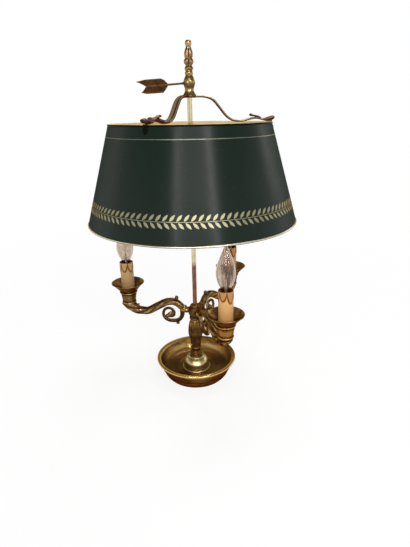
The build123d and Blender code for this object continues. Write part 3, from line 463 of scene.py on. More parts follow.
def brass(name, bright, dull, dark, polish, patina, edge=(0.52, 0.34, 0.18), grain=900.0, dents=0.0,
          matting=0.22):
    """Brass with dull patches, darkened by each piece's darkening mark (patina in its hollows, and on some
    pieces painted shade and painted highlight), and roughness and bump from fine noise. polish is the
    roughness of its brightest places, patina the share of the surface that has dulled, edge the tint
    of what it mirrors at a grazing angle, dents the depth of its soft dents in metres, and matting the
    roughness that the darkened places add."""
    material, tree, shader = new_material(name)
    patches = spread(tree, noise(tree, 95, 6, 0.62, 0.4), 0.72 - patina * 0.5, 0.86 - patina * 0.35)
    specks = spread(tree, noise(tree, 420, 3), 0.60, 0.78)
    patina_and_shade = spread(tree, mark(tree, "patina_and_shade"), 0.15, 0.95)
    shade = combine(tree, "MAXIMUM", patina_and_shade, combine(tree, "MULTIPLY", specks, 0.45))
    rough = combine(tree, "ADD", spread(tree, patches, 0, 1, polish, polish + 0.16),
                    combine(tree, "MULTIPLY", patina_and_shade, matting))
    fill(shader, Base_Color=blend(tree, shade, blend(tree, patches, bright, dull), dark),
         Metallic=1.0, Roughness=rough, Specular_Tint=edge)
    bump(tree, shader, noise(tree, grain, 3, 0.6), 0.00006)
    if dents:
        bump(tree, shader, noise(tree, 55, 1, 0.5), dents)
    return material


def make_materials():
    """The lamp's finishes by name."""
    return {
        "antique": brass("antique_brass", (0.42, 0.265, 0.11), (0.14, 0.072, 0.028), (0.030, 0.012, 0.004),
                         0.22, 0.66),
        # a warmer, lit copy of the antique brass for the front and back cups: painted light
        "warm_lit": brass("warm_brass", (0.56, 0.28, 0.080), (0.24, 0.090, 0.024), (0.034, 0.010, 0.003),
                      0.20, 0.50, edge=(0.50, 0.27, 0.09)),
        "stem": brass("stem_brass", (0.32, 0.17, 0.055), (0.115, 0.047, 0.015), (0.030, 0.011, 0.004),
                      0.34, 0.62, edge=(0.46, 0.26, 0.11)),
        "carrier": brass("carrier_brass", (0.46, 0.33, 0.15), (0.22, 0.125, 0.052), (0.060, 0.024, 0.010),
                         0.28, 0.5),
        "strap": brass("strap_brass", (0.92, 0.75, 0.49), (0.56, 0.33, 0.14), (0.078, 0.029, 0.010),
                       0.38, 0.36, edge=(0.56, 0.36, 0.18)),
        # the key's brass is coloured darker than the rest: painted shade, for the shadow it lies in
        "key": brass("painted_shade_key_brass", (0.13, 0.070, 0.026), (0.085, 0.040, 0.014), (0.022, 0.009, 0.004),
                     0.38, 0.5),
        "dish": brass("dish_brass", (0.74, 0.51, 0.19), (0.43, 0.245, 0.078), (0.085, 0.034, 0.010),
                      0.24, 0.34, edge=(0.58, 0.36, 0.16), dents=0.0005, matting=0.34),
        "dome": brass("dome_brass", (0.80, 0.66, 0.31), (0.62, 0.46, 0.18), (0.05, 0.025, 0.008),
                      0.30, 0.30, edge=(0.75, 0.60, 0.33), dents=0.0005),
        "foot": brass("foot_brass", (0.15, 0.058, 0.020), (0.085, 0.030, 0.010), (0.02, 0.008, 0.004),
                      0.34, 0.55, edge=(0.30, 0.13, 0.06)),
        "rolled_gilt": brass("rolled_gilt", (0.84, 0.78, 0.56), (0.70, 0.62, 0.40), (0.012, 0.012, 0.008),
                             0.30, 0.35),
        "gold_leaf": brass("gold_leaf", (0.36, 0.33, 0.205), (0.25, 0.225, 0.13), (0.12, 0.09, 0.045),
                           0.42, 0.35),
        "gilt_line": brass("gilt_line", (0.26, 0.27, 0.20), (0.17, 0.18, 0.13), (0.06, 0.06, 0.04),
                           0.42, 0.45),
        "base_shell": brass("bulb_base_brass", (0.78, 0.68, 0.45), (0.60, 0.50, 0.32), (0.2, 0.16, 0.1),
                            0.25, 0.3),
        "rod": make_rod_brass(),
        "enamel": make_enamel(),
        "dark_bead": make_dark_bead(),
        "sleeve": make_sleeve_paint("candle_sleeve", (0.40, 0.245, 0.105), (0.49, 0.315, 0.150),
                                    (0.47, 0.28, 0.115)),
        # a warmer, lit copy of the sleeve paint for the front and back candles: painted light
        "sleeve_warm_lit": make_sleeve_paint("candle_sleeve_warm", (0.58, 0.30, 0.105), (0.68, 0.385, 0.150),
                                         (0.46, 0.215, 0.062)),
        "glass": make_bulb_glass_material(),
        "wire": make_grained("wire_steel", (500, 4, (0.52, 0.50, 0.47), (0.70, 0.68, 0.64)),
                             (900, 3, 0.22, 0.40), Metallic=1.0),
        "phenolic": make_grained("phenolic", (300, 5, (0.020, 0.014, 0.010), (0.045, 0.030, 0.020)),
                                 (500, 4, 0.35, 0.55), (1500, 3, 0.00005)),
        "felt": make_felt(),
        "iron": make_grained("cast_iron", (350, 6, (0.05, 0.05, 0.05), (0.14, 0.12, 0.11)),
                             (600, 4, 0.5, 0.75), (1100, 5, 0.0002), Metallic=1.0),
    }


RED_REFLECTION_TOP_Z, RED_REFLECTION_FULL_Z = 0.234, 0.222       # where the rod's painted red reflection begins and is full, in metres


def make_rod_brass():
    """Polished bar with a painted reflection: pale at the top and red-brown toward the stem."""
    material, tree, shader = new_material("rod_brass")
    place = tree.nodes.new("ShaderNodeTexCoord")
    split = add(tree, "ShaderNodeSeparateXYZ", Vector=place.outputs["Object"])
    low = spread(tree, split.outputs["Z"], RED_REFLECTION_TOP_Z, RED_REFLECTION_FULL_Z)
    patches = spread(tree, noise(tree, 130, 5), 0.35, 0.7)
    painted_shading = combine(tree, "MULTIPLY", low, spread(tree, patches, 0, 1, 0.82, 1.0))
    bright = blend(tree, patches, (0.74, 0.66, 0.44), (0.62, 0.52, 0.30))
    fill(shader, Base_Color=blend(tree, painted_shading, bright, (0.18, 0.048, 0.019)), Metallic=1.0,
         Roughness=spread(tree, painted_shading, 0, 1, 0.16, 0.34), Specular_Tint=(0.60, 0.36, 0.20))
    bump(tree, shader, noise(tree, 1200, 2), 0.00003)
    return material


def make_enamel():
    """Satin dark green paint outside, pale gold paint inside."""
    material, tree, shader = new_material("shade_enamel")
    outside = blend(tree, noise(tree, 14, 4), (0.0065, 0.0125, 0.0070), (0.0085, 0.0170, 0.0130))
    inside = blend(tree, noise(tree, 22, 5), (0.70, 0.53, 0.28), (0.80, 0.66, 0.40))
    edge_on = add(tree, "ShaderNodeLayerWeight", Blend=0.5)
    worn = spread(tree, noise(tree, 60, 5), 0.3, 0.7, 0.22, 0.28)
    rough = combine(tree, "ADD", worn, spread(tree, edge_on.outputs["Facing"], 0.35, 0.85, 0.0, 0.6))
    fill(shader, Base_Color=blend(tree, mark(tree, "inside"), outside, inside), Roughness=rough,
         Specular_IOR_Level=0.13)
    return material


def make_dark_bead():
    """Black outside and on top, painted pale gold where a piece is marked as inside."""
    material, tree, shader = new_material("shade_bead")
    worn = spread(tree, noise(tree, 160, 5), 0.64, 0.76)
    outside = blend(tree, worn, (0.004, 0.005, 0.004), (0.06, 0.045, 0.022))
    fill(shader, Base_Color=blend(tree, mark(tree, "inside"), outside, (0.74, 0.58, 0.32)),
         Roughness=spread(tree, worn, 0, 1, 0.45, 0.55), Specular_IOR_Level=0.02)
    return material


def make_sleeve_paint(name, darker, lighter, drip):
    """Candle card between two tones, with wax drips in a tone of their own and brown lines round them."""
    material, tree, shader = new_material(name)
    card = blend(tree, noise(tree, 55, 5), darker, lighter)
    wax = blend(tree, mark(tree, "wax"), card, drip)
    dirt = spread(tree, noise(tree, 240, 6), 0.55, 0.8, 0.0, 0.5)
    worn = blend(tree, dirt, wax, (0.42, 0.24, 0.10))
    fill(shader, Base_Color=blend(tree, mark(tree, "outline"), worn, (0.16, 0.052, 0.006)),
         Roughness=spread(tree, noise(tree, 300, 3), 0.3, 0.7, 0.42, 0.58), Specular_IOR_Level=0.25,
         Subsurface_Weight=0.08, Subsurface_Radius=(0.004, 0.002, 0.001))
    bump(tree, shader, noise(tree, 1000, 4), 0.00008)
    return material


def make_bulb_glass_material():
    material, tree, shader = new_material("bulb_glass")
    veil = spread(tree, noise(tree, 120, 4), 0.35, 0.75)
    # the clear glass is tinted grey-brown: a painted reflection of the dim room seen in and through it
    fill(shader, Base_Color=blend(tree, veil, (0.80, 0.71, 0.62), (0.56, 0.46, 0.38)),
         Roughness=spread(tree, noise(tree, 200, 3), 0.3, 0.7, 0.01, 0.07), Transmission_Weight=1.0, IOR=1.48)
    bump(tree, shader, noise(tree, 260, 2), 0.0003, 0.6)
    return material


def make_grained(name, tones, rough, relief=None, **values):
    """A material between two tones and two roughnesses, perhaps with relief of a depth in metres. Each
    of the three begins with the scale and the detail of its noise."""
    material, tree, shader = new_material(name)
    fill(shader, Base_Color=blend(tree, noise(tree, *tones[:2]), *tones[2:]),
         Roughness=spread(tree, noise(tree, *rough[:2]), 0.3, 0.7, *rough[2:]), **values)
    if relief:
        bump(tree, shader, noise(tree, *relief[:2]), relief[2])
    return material


def make_felt():
    material, tree, shader = new_material("felt")
    fill(shader, Base_Color=blend(tree, noise(tree, 900, 6), (0.030, 0.075, 0.050), (0.060, 0.130, 0.090)),
         Roughness=0.95, Sheen_Weight=0.4)
    bump(tree, shader, noise(tree, 2500, 6), 0.0003)
    return material


FINISH = make_materials()


# ---- Base ----
DISH_RIM_R = span("base_dish")[1].x
DISH_RIM_Z = span("base_dish")[1].z
FOOT_EDGE_Z = span("foot_ring")[0].z
DISH_SHEET = 1.6
# The dish's floor and wall inside, as radius and height above the floor.
DISH_INSIDE = [(50.0, 0.0), (56.0, 0.0), (60.0, 1.4), (63.8, 4.9), (66.9, 11.4), (68.6, 17.2), (69.2, 21.2)]
LIP_RISE = DISH_INSIDE[-1][1]      # where the wall inside meets the lip, above the floor
LIP_WIDE, LIP_HIGH = 3.4, 2.4      # half sizes of the rolled lip
WALL_HIGHLIGHT_AZIMUTH = radians(80)          # azimuth of the painted highlight on the inside of the dish, from +X
LIP_HIGHLIGHT_AZIMUTH = radians(245)          # and of the painted highlight on its lip


def dish_tone_and_painted_highlights(angles, radius, height):
    """Darker floor and lower outside; painted highlights on the lip and the back of the inner wall, the wall
    painted darker away from its highlight.
    """
    rise = height - DISH_FLOOR_Z
    wall_r = np.interp(rise, [h for _, h in DISH_INSIDE[1:]], [r for r, _ in DISH_INSIDE[1:]])
    wave = 0.08 * np.sin(2 * angles + 0.7) + 0.06 * np.sin(5 * angles)
    if rise > LIP_RISE:
        # painted highlight on the lip, brightest at its given azimuth
        return 0.0, 0.40 - 0.36 * np.cos(angles - LIP_HIGHLIGHT_AZIMUTH) + wave
    if radius > wall_r + 0.8:
        outside = float(np.interp(rise, [13.0, 17.5, 20.8], [1.0, 0.85, 0.20]))
        return 0.0, np.clip(outside + wave, 0, 1)
    inside = float(np.interp(radius, [40.0, 57.0, 60.5, 64.0, 67.5], [0.60, 0.64, 0.52, 0.24, 0.06]))
    # painted highlight on the wall inside, and painted shade away from it
    away_from_highlight = np.clip(1.25 * (0.5 - 0.5 * np.cos(angles - WALL_HIGHLIGHT_AZIMUTH)) ** 0.6, 0, 1)
    worst = float(np.interp(radius, [57.0, 63.0], [0.78, 0.95]))
    return 0.0, np.clip(inside + (worst - inside) * away_from_highlight + wave, 0, 1)


def make_dish():
    """Spun dish with a ridge ring on its floor and a rolled lip."""
    floor, rim_z = DISH_FLOOR_Z, DISH_RIM_Z
    inside = [(BORE_R, floor), (33.0, floor)]
    inside += flow((35.6, 0), (36.6, 0.35), (38.0, 0.9), (39.4, 0.35), (40.4, 0), base=floor)
    inside += flow(*DISH_INSIDE, base=floor)
    lip = [(DISH_RIM_R - LIP_WIDE + LIP_WIDE * x, rim_z - LIP_HIGH + LIP_HIGH * y)
           for x, y in arc(0, 0, 1, 192, -80, 24)]
    outside = flow((72.4, rim_z - 5.5), (71.4, floor + 17.0), (69.8, floor + 11.5), (66.2, floor + 3.8),
                   (58.6, floor - DISH_SHEET))
    return turned("dish", inside + lip + outside + [(BORE_R, floor - DISH_SHEET)], dish_tone_and_painted_highlights, around=192)


def make_foot_ring():
    """Turned ring that spreads toward the dish."""
    edge = FOOT_EDGE_Z
    outline = [(55.9, edge), (57.3, edge)]
    outline += flow((57.5, 0.3), (58.7, 1.9), (61.0, 4.2), (63.6, 8.6), (65.2, 13.6), base=edge)
    outline += [(61.0, edge + 11.6), (56.4, edge + 4.0)]
    return turned("foot", outline, around=192)


GROOVE_R, GROOVE_RISE = 24.2, 3.4      # the groove between the dome and its flange lies inside these


def make_dome():
    """Bell-shaped stem foot with a flange, a groove and a lipped top."""
    floor, top = DISH_FLOOR_Z, DOME_TOP_Z
    outline = [(BORE_R, floor), (27.2, floor)]
    outline += flow((28.0, 0.6), (28.0, 1.5), (27.3, 2.5), (26.0, 3.0), (24.6, 2.8), (23.6, 2.2),
                    base=floor)
    outline += flow((23.2, 2.8), (24.7, 4.6), (25.0, 7.0), (24.2, 12.4), (22.4, 16.7), (18.8, 21.6),
                    (15.7, 23.9), (14.7, 25.2), base=floor)
    outline += flow((15.1, top - 0.9), (15.4, top - 0.3), (15.0, top), (13.0, top - 0.4), steps=3)
    outline += [(12.0, top - 0.4), (BORE_R, top - 0.4)]

    def relief(angles, radius, height):
        rise = height - floor
        # painted shade: a dark band round the upper shoulder for the dark reflection there, and the groove
        # above the flange painted darkest
        painted_shading = float(np.interp(rise, [4.4, 16.0, 22.0, 27.0], [0.0, 0.05, 0.5, 0.35]))
        if radius < GROOVE_R and rise < GROOVE_RISE:
            painted_shading = 1.0
        return 0.0, painted_shading + 0.10 * np.sin(3 * angles) * (painted_shading > 0.3)

    return turned("stem_dome", outline, relief, around=160)


VASE_LOBES = 6
VASE_TURN = radians(-12 - 90)      # a lobe of the vase stands a little left of the viewer


def gadroons(angles, height, low, high, depth, lobes=VASE_LOBES):
    """Rounded lobes round a belly, deepest between low and high."""
    share = np.clip((height - low) / (high - low), 0, 1)
    strength = sin(pi * share) ** 0.6 if 0 < share < 1 else 0.0
    lobe = np.abs(np.cos(lobes / 2 * (angles - VASE_TURN))) ** 0.7
    return -depth * strength * (1 - lobe), strength * (1 - lobe) ** 1.3


def make_column():
    """Two turned rings below a vase with leaf lobes."""
    base, top = DOME_TOP_Z, COLUMN_TOP_Z
    outline = [(BORE_R, base - 1.6), (12.0, base - 1.6), (12.0, base + 1.3)]
    outline += flow((11.8, 1.7), (9.7, 2.8), (8.7, 4.0), steps=4, base=base)
    outline += flow((8.7, 4.4), (10.1, 5.2), (10.6, 6.6), (10.1, 8.0), (8.7, 8.8), base=base)
    outline += flow((8.3, 9.4), (8.2, 11.6), (8.4, 14.0), steps=4, base=base)
    outline += flow((8.7, 14.9), (9.9, 15.6), (10.4, 17.0), (9.9, 18.4), (8.7, 19.1), base=base)
    outline += flow((8.3, 19.6), (8.3, 20.4), (9.2, 21.7), (9.9, 25.9), (11.0, 34.0), (12.0, 38.6),
                    (13.8, 44.4), (14.6, 49.6), (14.5, 55.8), (13.9, 61.5), (13.1, 67.1), (11.7, 72.0),
                    (10.2, 74.4), base=base)
    outline += flow((9.4, base + 75.2), (9.1, base + 76.3), (9.2, top), steps=3)
    outline += [(BORE_R, top)]

    def relief(angles, radius, height):
        out, patina_and_shade = gadroons(angles, height, base + 32, base + 75, 1.9)
        # tone by height over the patina in the lobes: painted shade across the belly and a painted highlight
        # near the top
        painted_shading = float(np.interp(height - base, [0, 20, 34, 52, 62, 68, 76],
                                  [0.40, 0.30, 0.28, 0.60, 0.72, 0.30, 0.12]))
        return out, np.maximum(patina_and_shade, painted_shading)

    return turned("vase", outline, relief, around=192)


HUB_TARNISH = 0.62


def make_hub():
    """Ring and lobed apple that the three arms leave."""
    bottom, top = COLUMN_TOP_Z, HUB_TOP_Z
    outline = [(BORE_R, bottom)]
    outline += flow((9.2, 0), (10.8, 1.0), (11.2, 2.7), (10.8, 4.4), (9.7, 5.4), base=bottom)
    outline += flow((9.9, bottom + 6.0), (12.0, bottom + 10.6), (13.5, bottom + 16.0), (13.6, bottom + 19.4),
                    (12.6, bottom + 23.4), (9.8, top))
    outline += [(7.0, top), (BORE_R, top - 1)]

    def relief(angles, radius, height):
        out, patina_and_shade = gadroons(angles, height, bottom + 6, top + 1, 0.6)
        return out, np.maximum(patina_and_shade, HUB_TARNISH)

    return turned("hub", outline, relief, around=160)


def make_cap():
    """Domed cap round the rod."""
    bottom, top = HUB_TOP_Z, HUB_CAP_TOP_Z
    bore = ROD_R + ROD_PLAY
    outline = [(bore, bottom - 6), (7.0, bottom - 6), (7.0, bottom), (8.8, bottom)]
    outline += flow((9.1, 0.5), (9.3, 1.5), (8.4, 2.9), (6.6, 4.2), (5.1, CAP_HIGH), base=bottom)
    outline += [(bore, top)]
    return turned("rod_cap", outline)


def dress_base():
    dress(make_dish(), "dish", "dish_brass", "base", "base_dish")
    dress(make_foot_ring(), "foot", "foot_brass", "base", "foot_ring")
    dress(make_dome(), "dome", "dish_brass", "base", "stem_foot")
    dress(make_column(), "stem", "antique_brass", "base", "stem_column")
    dress(make_hub(), "stem", "antique_brass", "base", "arm_hub")
    dress(make_cap(), "stem", "antique_brass", "base", "hub_cap")


# ---- Candle arms, built toward +X ----
def by_hub(*pairs):
    """Points from their radius and their height above the arm's root."""
    return [(radius, HUB_MID_Z + above) for radius, above in pairs]


def by_candle(*pairs):
    """Points from how far they lie inward of the candle's axis and below the arm's end."""
    return [(ARM_REACH - inward, ARM_END_Z - below) for inward, below in pairs]


ARM_RIDGES = 5
ARM_TWIST = 17             # phase that the veins gain along the arm, in radians


def arm_relief(angles, share):
    """Leaf veins that wind round the arm, polished on their crests and stronger toward the horn."""
    phase = ARM_RIDGES / 2 * angles + ARM_TWIST * share
    ridge = np.abs(np.sin(phase)) ** 0.8
    strength = 0.6 + 0.4 * share
    return 1 - 0.10 * strength * (1 - ridge), np.clip(0.22 + 0.85 * strength * (1 - ridge**1.6), 0, 1)


def volute_relief(angles, share):
    """A dark channel along both sides of the scroll, between its polished inner and outer edge."""
    edge = np.abs(np.sin(angles)) ** 0.7
    return 1 - 0.10 * (1 - edge), np.clip(0.15 + 1.0 * (1 - edge**1.5), 0, 1)


def vein_relief(angles, share):
    """A midrib and two side grooves along a leaf."""
    ridge = np.abs(np.cos(1.5 * (angles - pi / 2)))
    return 1 - 0.16 * (1 - ridge), (1 - ridge) ** 1.5


def make_arm_bar():
    points = by_hub((8.8, 0), (18.0, 0), (26.0, 4.9), (33.5, 11.3), (41.5, 15.0), (49.5, 14.6), (57.5, 12.2),
                    (65.5, 8.0))
    points += by_candle((56.5, 4.8), (48.5, 10.0), (40.5, 14.2), (32.5, 16.4), (24.5, 16.1), (16.5, 15.0),
                        (8.6, 10.9), (2.4, 5.4), (0, 0))
    path = flow(*points, steps=8)
    radii = [5.6, 6.1, 6.8, 7.1, 7.2, 7.5, 7.6, 7.6, 7.6, 8.0, 8.9, 10.7, 13.0]
    return swept("arm_bar", path, radii, radii, arm_relief, around=42)


def make_arm_knot():
    """The thick node where the volute leaves the arm."""
    path = flow(*by_hub((16.5, -0.2), (19.0, 0.4), (22.5, 2.2), (26.0, 4.9)), steps=5)
    return swept("arm_knot", path, [4.6, 6.9, 7.5, 7.4, 5.4], [4.8, 7.0, 7.6, 7.4, 5.6], around=28)


def make_volute():
    points = by_hub((24.0, 2.0), (25.0, -3.8), (25.6, -12.5), (29.4, -20.1), (35.6, -24.3), (43.5, -25.5),
                    (52.5, -25.1), (59.4, -21.1), (62.9, -13.1), (60.6, -4.1), (53.6, 0.4), (45.6, -1.1),
                    (41.1, -7.3), (42.6, -14.7), (49.0, -17.5))
    path = flow(*points, steps=7)
    radii = [5.2, 4.9, 4.2, 4.0, 3.9, 3.7, 3.4, 3.1, 2.9, 2.8, 2.7, 2.6, 2.6, 2.5, 2.3]
    return swept("volute", path, radii, radii, volute_relief, around=24)


def make_volute_leaf():
    """The curled leaf that fills the eye of the volute."""
    path = flow(*by_hub((58.4, -14.6), (54.6, -15.6), (50.8, -13.6), (47.4, -9.4), (46.0, -5.4)), steps=7)
    return swept("volute_leaf", path, [1.8, 3.4, 4.0, 3.2, 1.2], [2.2, 4.4, 5.2, 4.0, 1.4], vein_relief,
                 around=28)


def evenly(patina_and_shade):
    """Relief of a smooth piece that is equally darkened all over."""
    return lambda angles, share: (1.0, np.full_like(angles, patina_and_shade))


BUD_TARNISH = 0.72


def make_bud(name, root, tip, radius):
    """A cut bud: a short stub with a rounded end."""
    path = flow(root, ((root[0] + tip[0]) / 2, (root[1] + tip[1]) / 2), tip, steps=5)
    radii = [radius * share for share in (1.25, 0.95, 0.82, 1.05, 1.15, 0.70)]
    return swept(name, path, radii, radii, evenly(BUD_TARNISH), around=18)


def make_leaf(name, points, half_widths, thickness):
    """A curled leaf with a midrib, along points in the arm's plane."""
    path = flow(*points, steps=7)
    heights = [thickness * share for share in (0.8, 1.0, 1.0, 0.9, 0.7, 0.35)]
    return swept(name, path, half_widths, heights, vein_relief, around=24)


def make_arm():
    """One cast arm with its volute, buds and leaves."""
    pieces = [
        make_arm_bar(),
        make_arm_knot(),
        make_volute(),
        make_volute_leaf(),
        make_bud("bud_top", *by_hub((36.2, 14.0), (35.2, 26.6)), 3.2),
        make_bud("bud_low", *by_hub((34.4, -22.6), (34.5, -32.0)), 3.0),
        make_leaf("leaf_inner", by_candle((13.0, 12.0), (15.6, 7.6), (18.2, 3.4), (20.4, 2.4)),
                  [4.0, 4.4, 4.0, 3.0, 1.8, 0.6], 2.2),
        make_leaf("leaf_outer", by_candle((6.0, 13.0), (-4.0, 7.8), (-9.6, 4.2), (-13.2, 2.9), (-14.4, 1.8)),
                  [9.0, 9.6, 8.4, 6.0, 3.6, 0.8], 2.6),
    ]
    return joined("candle_arm", pieces)


# ---- Candle cups and pans, built on the Z axis ----
def make_cup():
    bottom, top = ARM_END_Z, PAN_UNDER_Z
    outline = [(BORE_R, bottom), (12.8, bottom)]
    outline += flow((13.2, 0.3), (13.6, 1.7), (13.2, 3.1), steps=4, base=bottom)
    outline += flow((12.6, 3.6), (12.8, 6.0), (13.5, 11.0), (14.5, 17.0), (15.2, 20.4), base=bottom)
    outline += flow((15.6, 20.9), (16.7, 22.0), (16.6, 23.4), (15.4, 24.2), steps=4, base=bottom)
    outline += [(14.8, top), (BORE_R, top)]

    def relief(angles, radius, height):
        out, patina_and_shade = gadroons(angles, height, bottom + 3, bottom + 21, 0.4, lobes=12)
        rises = [0.0, 2.8, 3.6, 5.5, 8.0, 15.0, 19.0, 20.6, 21.6, 23.4, 24.4]
        tones = [0.0, 0.05, 1.0, 0.80, 0.55, 0.50, 0.80, 1.0, 0.05, 0.10, 0.95]
        return out, np.maximum(0.6 * patina_and_shade, float(np.interp(height - bottom, rises, tones)))

    return turned("candle_cup", outline, relief, around=96)


def make_pan():
    """Flared pan with a rolled edge and hollowed petals."""
    under = PAN_UNDER_Z
    outline = [(BORE_R, under), (14.4, under)]
    outline += flow((15.2, 0.2), (17.3, 2.2), (20.0, 5.2), (23.0, 8.7), (28.4, 14.4), (30.0, 15.6),
                    base=under)
    outline += flow((30.5, 15.9), (30.6, 16.4), (30.2, 16.9), (29.4, 16.9), steps=4, base=under)
    outline += flow((28.1, 15.3), (24.6, 11.9), (22.0, 9.3), (19.2, 6.2), (16.4, 2.9), (14.6, 1.0),
                    base=under)
    outline += [(BORE_R, under + 1.0)]

    def relief(angles, radius, height):
        rise = height - under
        outside = radius > np.interp(rise, [0.0, 2.2, 8.7, 14.4, 16.0], [14.8, 16.8, 22.6, 28.2, 30.2])
        petal = np.abs(np.cos(6 * angles))
        patina_and_shade = 0.55 * (1 - petal) ** 2 * sin(pi * np.clip(rise / 16.0, 0, 1))
        lip = rise > 15.0
        return 0.0, np.maximum(patina_and_shade, 0.1 if lip else 0.62 if outside else 0.40)

    return turned("drip_pan", outline, relief, around=120)


# ---- Candle sleeves ----
# The front and back cups and sleeves take warmer, lit copies of the finishes and the left ones the cooler,
# olive ones: painted light.
CUP_FINISHES = {"front": "warm_lit", "back": "warm_lit", "left": "antique"}
SLEEVE_FINISHES = {"front": "sleeve_warm_lit", "back": "sleeve_warm_lit", "left": "sleeve"}
SLEEVE_TURNS = {"front": 33, "back": 148, "left": 287}      # degrees, so that each sleeve's drips lie apart
SLEEVE_OUT_R, SLEEVE_IN_R = 12.2, 11.2
DRIP_LENGTHS = np.array([14.0, 12.5, 15.0, 11.5, 15.5, 13.0])
DRIPS = len(DRIP_LENGTHS)
DRIP_START = 3.4           # the wax reaches this far down between two drips
WAX_THICK = 0.3
WAX_EDGE = 1.2             # the wax thins out over this width
OUTLINE_REACH = 1.8        # the brown line reaches this far to each side of the wax's edge
OUTLINE_FADE = 0.75        # and fades over this width


def drip_edge(angles):
    """Depth of the wax's lower edge below the sleeve's top."""
    turn = angles / (2 * pi) * DRIPS
    tongue = np.sin(pi * (turn % 1.0)) ** 0.9
    return DRIP_START + DRIP_LENGTHS[turn.astype(int) % DRIPS] * tongue


def make_sleeve():
    """Card tube with raised wax drips round its top, outlined in brown."""
    bottom, top = SLEEVE_BOTTOM_Z, SLEEVE_TOP_Z
    outer, inner, around = SLEEVE_OUT_R, SLEEVE_IN_R, 280
    angles = np.linspace(0, 2 * pi, around, endpoint=False)
    drops = drip_edge(angles)
    slope = np.gradient(drops, outer * 2 * pi / around)
    heights = np.concatenate([np.linspace(bottom, top - 24, 10), np.linspace(top - 23.6, top - 0.4, 66)])
    points, wax_marks, line_marks = [], [], []
    for height in heights:
        above = (height - top + drops) / np.sqrt(1 + slope**2)
        wax = np.clip(above / WAX_EDGE + 0.5, 0, 1)
        points.append(ring_points(angles, outer + WAX_THICK * wax, height))
        wax_marks.append(wax)
        line_marks.append(np.clip((OUTLINE_REACH - np.abs(above)) / OUTLINE_FADE, 0, 1))
    for radius, height in ((outer, top), (inner + 0.2, top), (inner, top - 1), (inner, bottom)):
        points.append(ring_points(angles, radius, height))
        wax_marks.append(np.ones(around))
        line_marks.append(np.full(around, 0.9 if radius < outer else 0.25))
    faces = grid_faces(len(points), around, True)
    marks = {"wax": np.concatenate(wax_marks), "outline": np.concatenate(line_marks)}
    return make_object("candle_sleeve", np.concatenate(points), faces, marks)


# ---- Bulbs ----
GLASS_R = 15.6
GLASS_WALL = 0.8
WIDEST_SHARE = 0.40        # how far up the glass is widest, as a share of its height


def bulb_outline(inset):
    """From the neck to the tip, at a distance inside the outer face."""
    bottom, top = GLASS_BOTTOM_Z, GLASS_TOP_Z - inset
    widest = GLASS_BOTTOM_Z + (GLASS_TOP_Z - GLASS_BOTTOM_Z) * WIDEST_SHARE
    above = top - widest
    return flow((6.4 - inset, bottom), (7.5 - inset, bottom + 8), (GLASS_R * 0.83 - inset, bottom + 19),
                (GLASS_R - inset, widest), (GLASS_R * 0.88 - inset, widest + above * 0.30),
                (GLASS_R * 0.52 - inset, widest + above * 0.64),
                (GLASS_R * 0.17 - inset * 0.6, widest + above * 0.92), (0, top), steps=9)


def make_glass():
    """Blown candle glass with soft waves down its sides."""
    bottom, top = GLASS_BOTTOM_Z, GLASS_TOP_Z

    def relief(angles, radius, height):
        share = (height - bottom) / (top - bottom)
        wave = np.cos(7 * angles + 4.0 * share) + 0.6 * np.cos(11 * angles - 3.0 * share + 1.3)
        wave = wave + 0.35 * np.cos(19 * angles + 2.0 * share + 0.4)
        return 0.26 * sin(pi * np.clip(share, 0, 1)) * (wave - 0.6) * min(1.0, radius / 6), 0

    outline = bulb_outline(0) + bulb_outline(GLASS_WALL)[::-1]
    return turned("bulb_glass", outline, relief, around=112)


THREAD_R = 5.65            # middle of the rolled thread
THREAD_DEPTH = 0.3


def make_bulb_base():
    """Contact, insulator and rolled screw shell."""
    bottom, top = span("bulb_base_front")[0].z, span("bulb_base_front")[1].z
    outline = [(0, bottom), (2.2, bottom), (2.6, bottom + 0.8), (3.0, bottom + 1.6), (5.4, bottom + 3.4)]
    turns, per_turn = 4, 6
    for index in range(turns * per_turn + 1):
        height = bottom + 4.0 + (top - bottom - 8.0) * index / (turns * per_turn)
        outline.append((THREAD_R + THREAD_DEPTH * cos(index / per_turn * 2 * pi), height))
    outline += [(5.7, top - 3.2), (6.2, top - 1.0), (6.4, top), (0, top)]
    return turned("bulb_base", outline, around=64, closed=False)


def dress_candles():
    arm, cup, pan = make_arm(), make_cup(), make_pan()
    sleeve, glass, base = make_sleeve(), make_glass(), make_bulb_base()
    for place in PLACES:
        axis = CANDLE_AXES[place]
        turn = facing(ARM_AZIMUTHS[place])
        at_axis = Matrix.Translation(Vector((axis.x, axis.y, 0)) * MM)
        wind = Matrix.Rotation(radians(SLEEVE_TURNS[place]), 4, "Z")
        bulb = f"bulb_{place}"
        for mesh, name, where, finish, slot, body, node in (
                (arm, "arm", turn, "antique", "antique_brass", "base", "candle_arm"),
                (cup, "cup", at_axis @ turn, CUP_FINISHES[place], "antique_brass", "base", "candle_cup"),
                (pan, "pan", at_axis @ turn, "antique", "antique_brass", "base", "drip_pan"),
                (sleeve, "sleeve", at_axis @ wind, SLEEVE_FINISHES[place], "sleeve", "base", "candle_sleeve"),
                (glass, "glass", at_axis @ wind, "glass", "bulb_glass", bulb, "bulb_glass"),
                (base, "screw_base", at_axis, "base_shell", "bulb_base", bulb, "bulb_base")):
            dress(copied(mesh, f"{name}_{place}", where), finish, slot, body, f"{node}_{place}")
    for piece in (arm, cup, pan, sleeve, glass, base):
        remove(piece)


# ---- Rod, finial and collar ----
def make_rod():
    outline = [(0, ROD_BOTTOM_Z), (ROD_R, ROD_BOTTOM_Z), (ROD_R, ROD_TOP_Z), (0, ROD_TOP_Z)]
    return turned("rod", outline, around=64, closed=False)


FINIAL_LOBES = 3


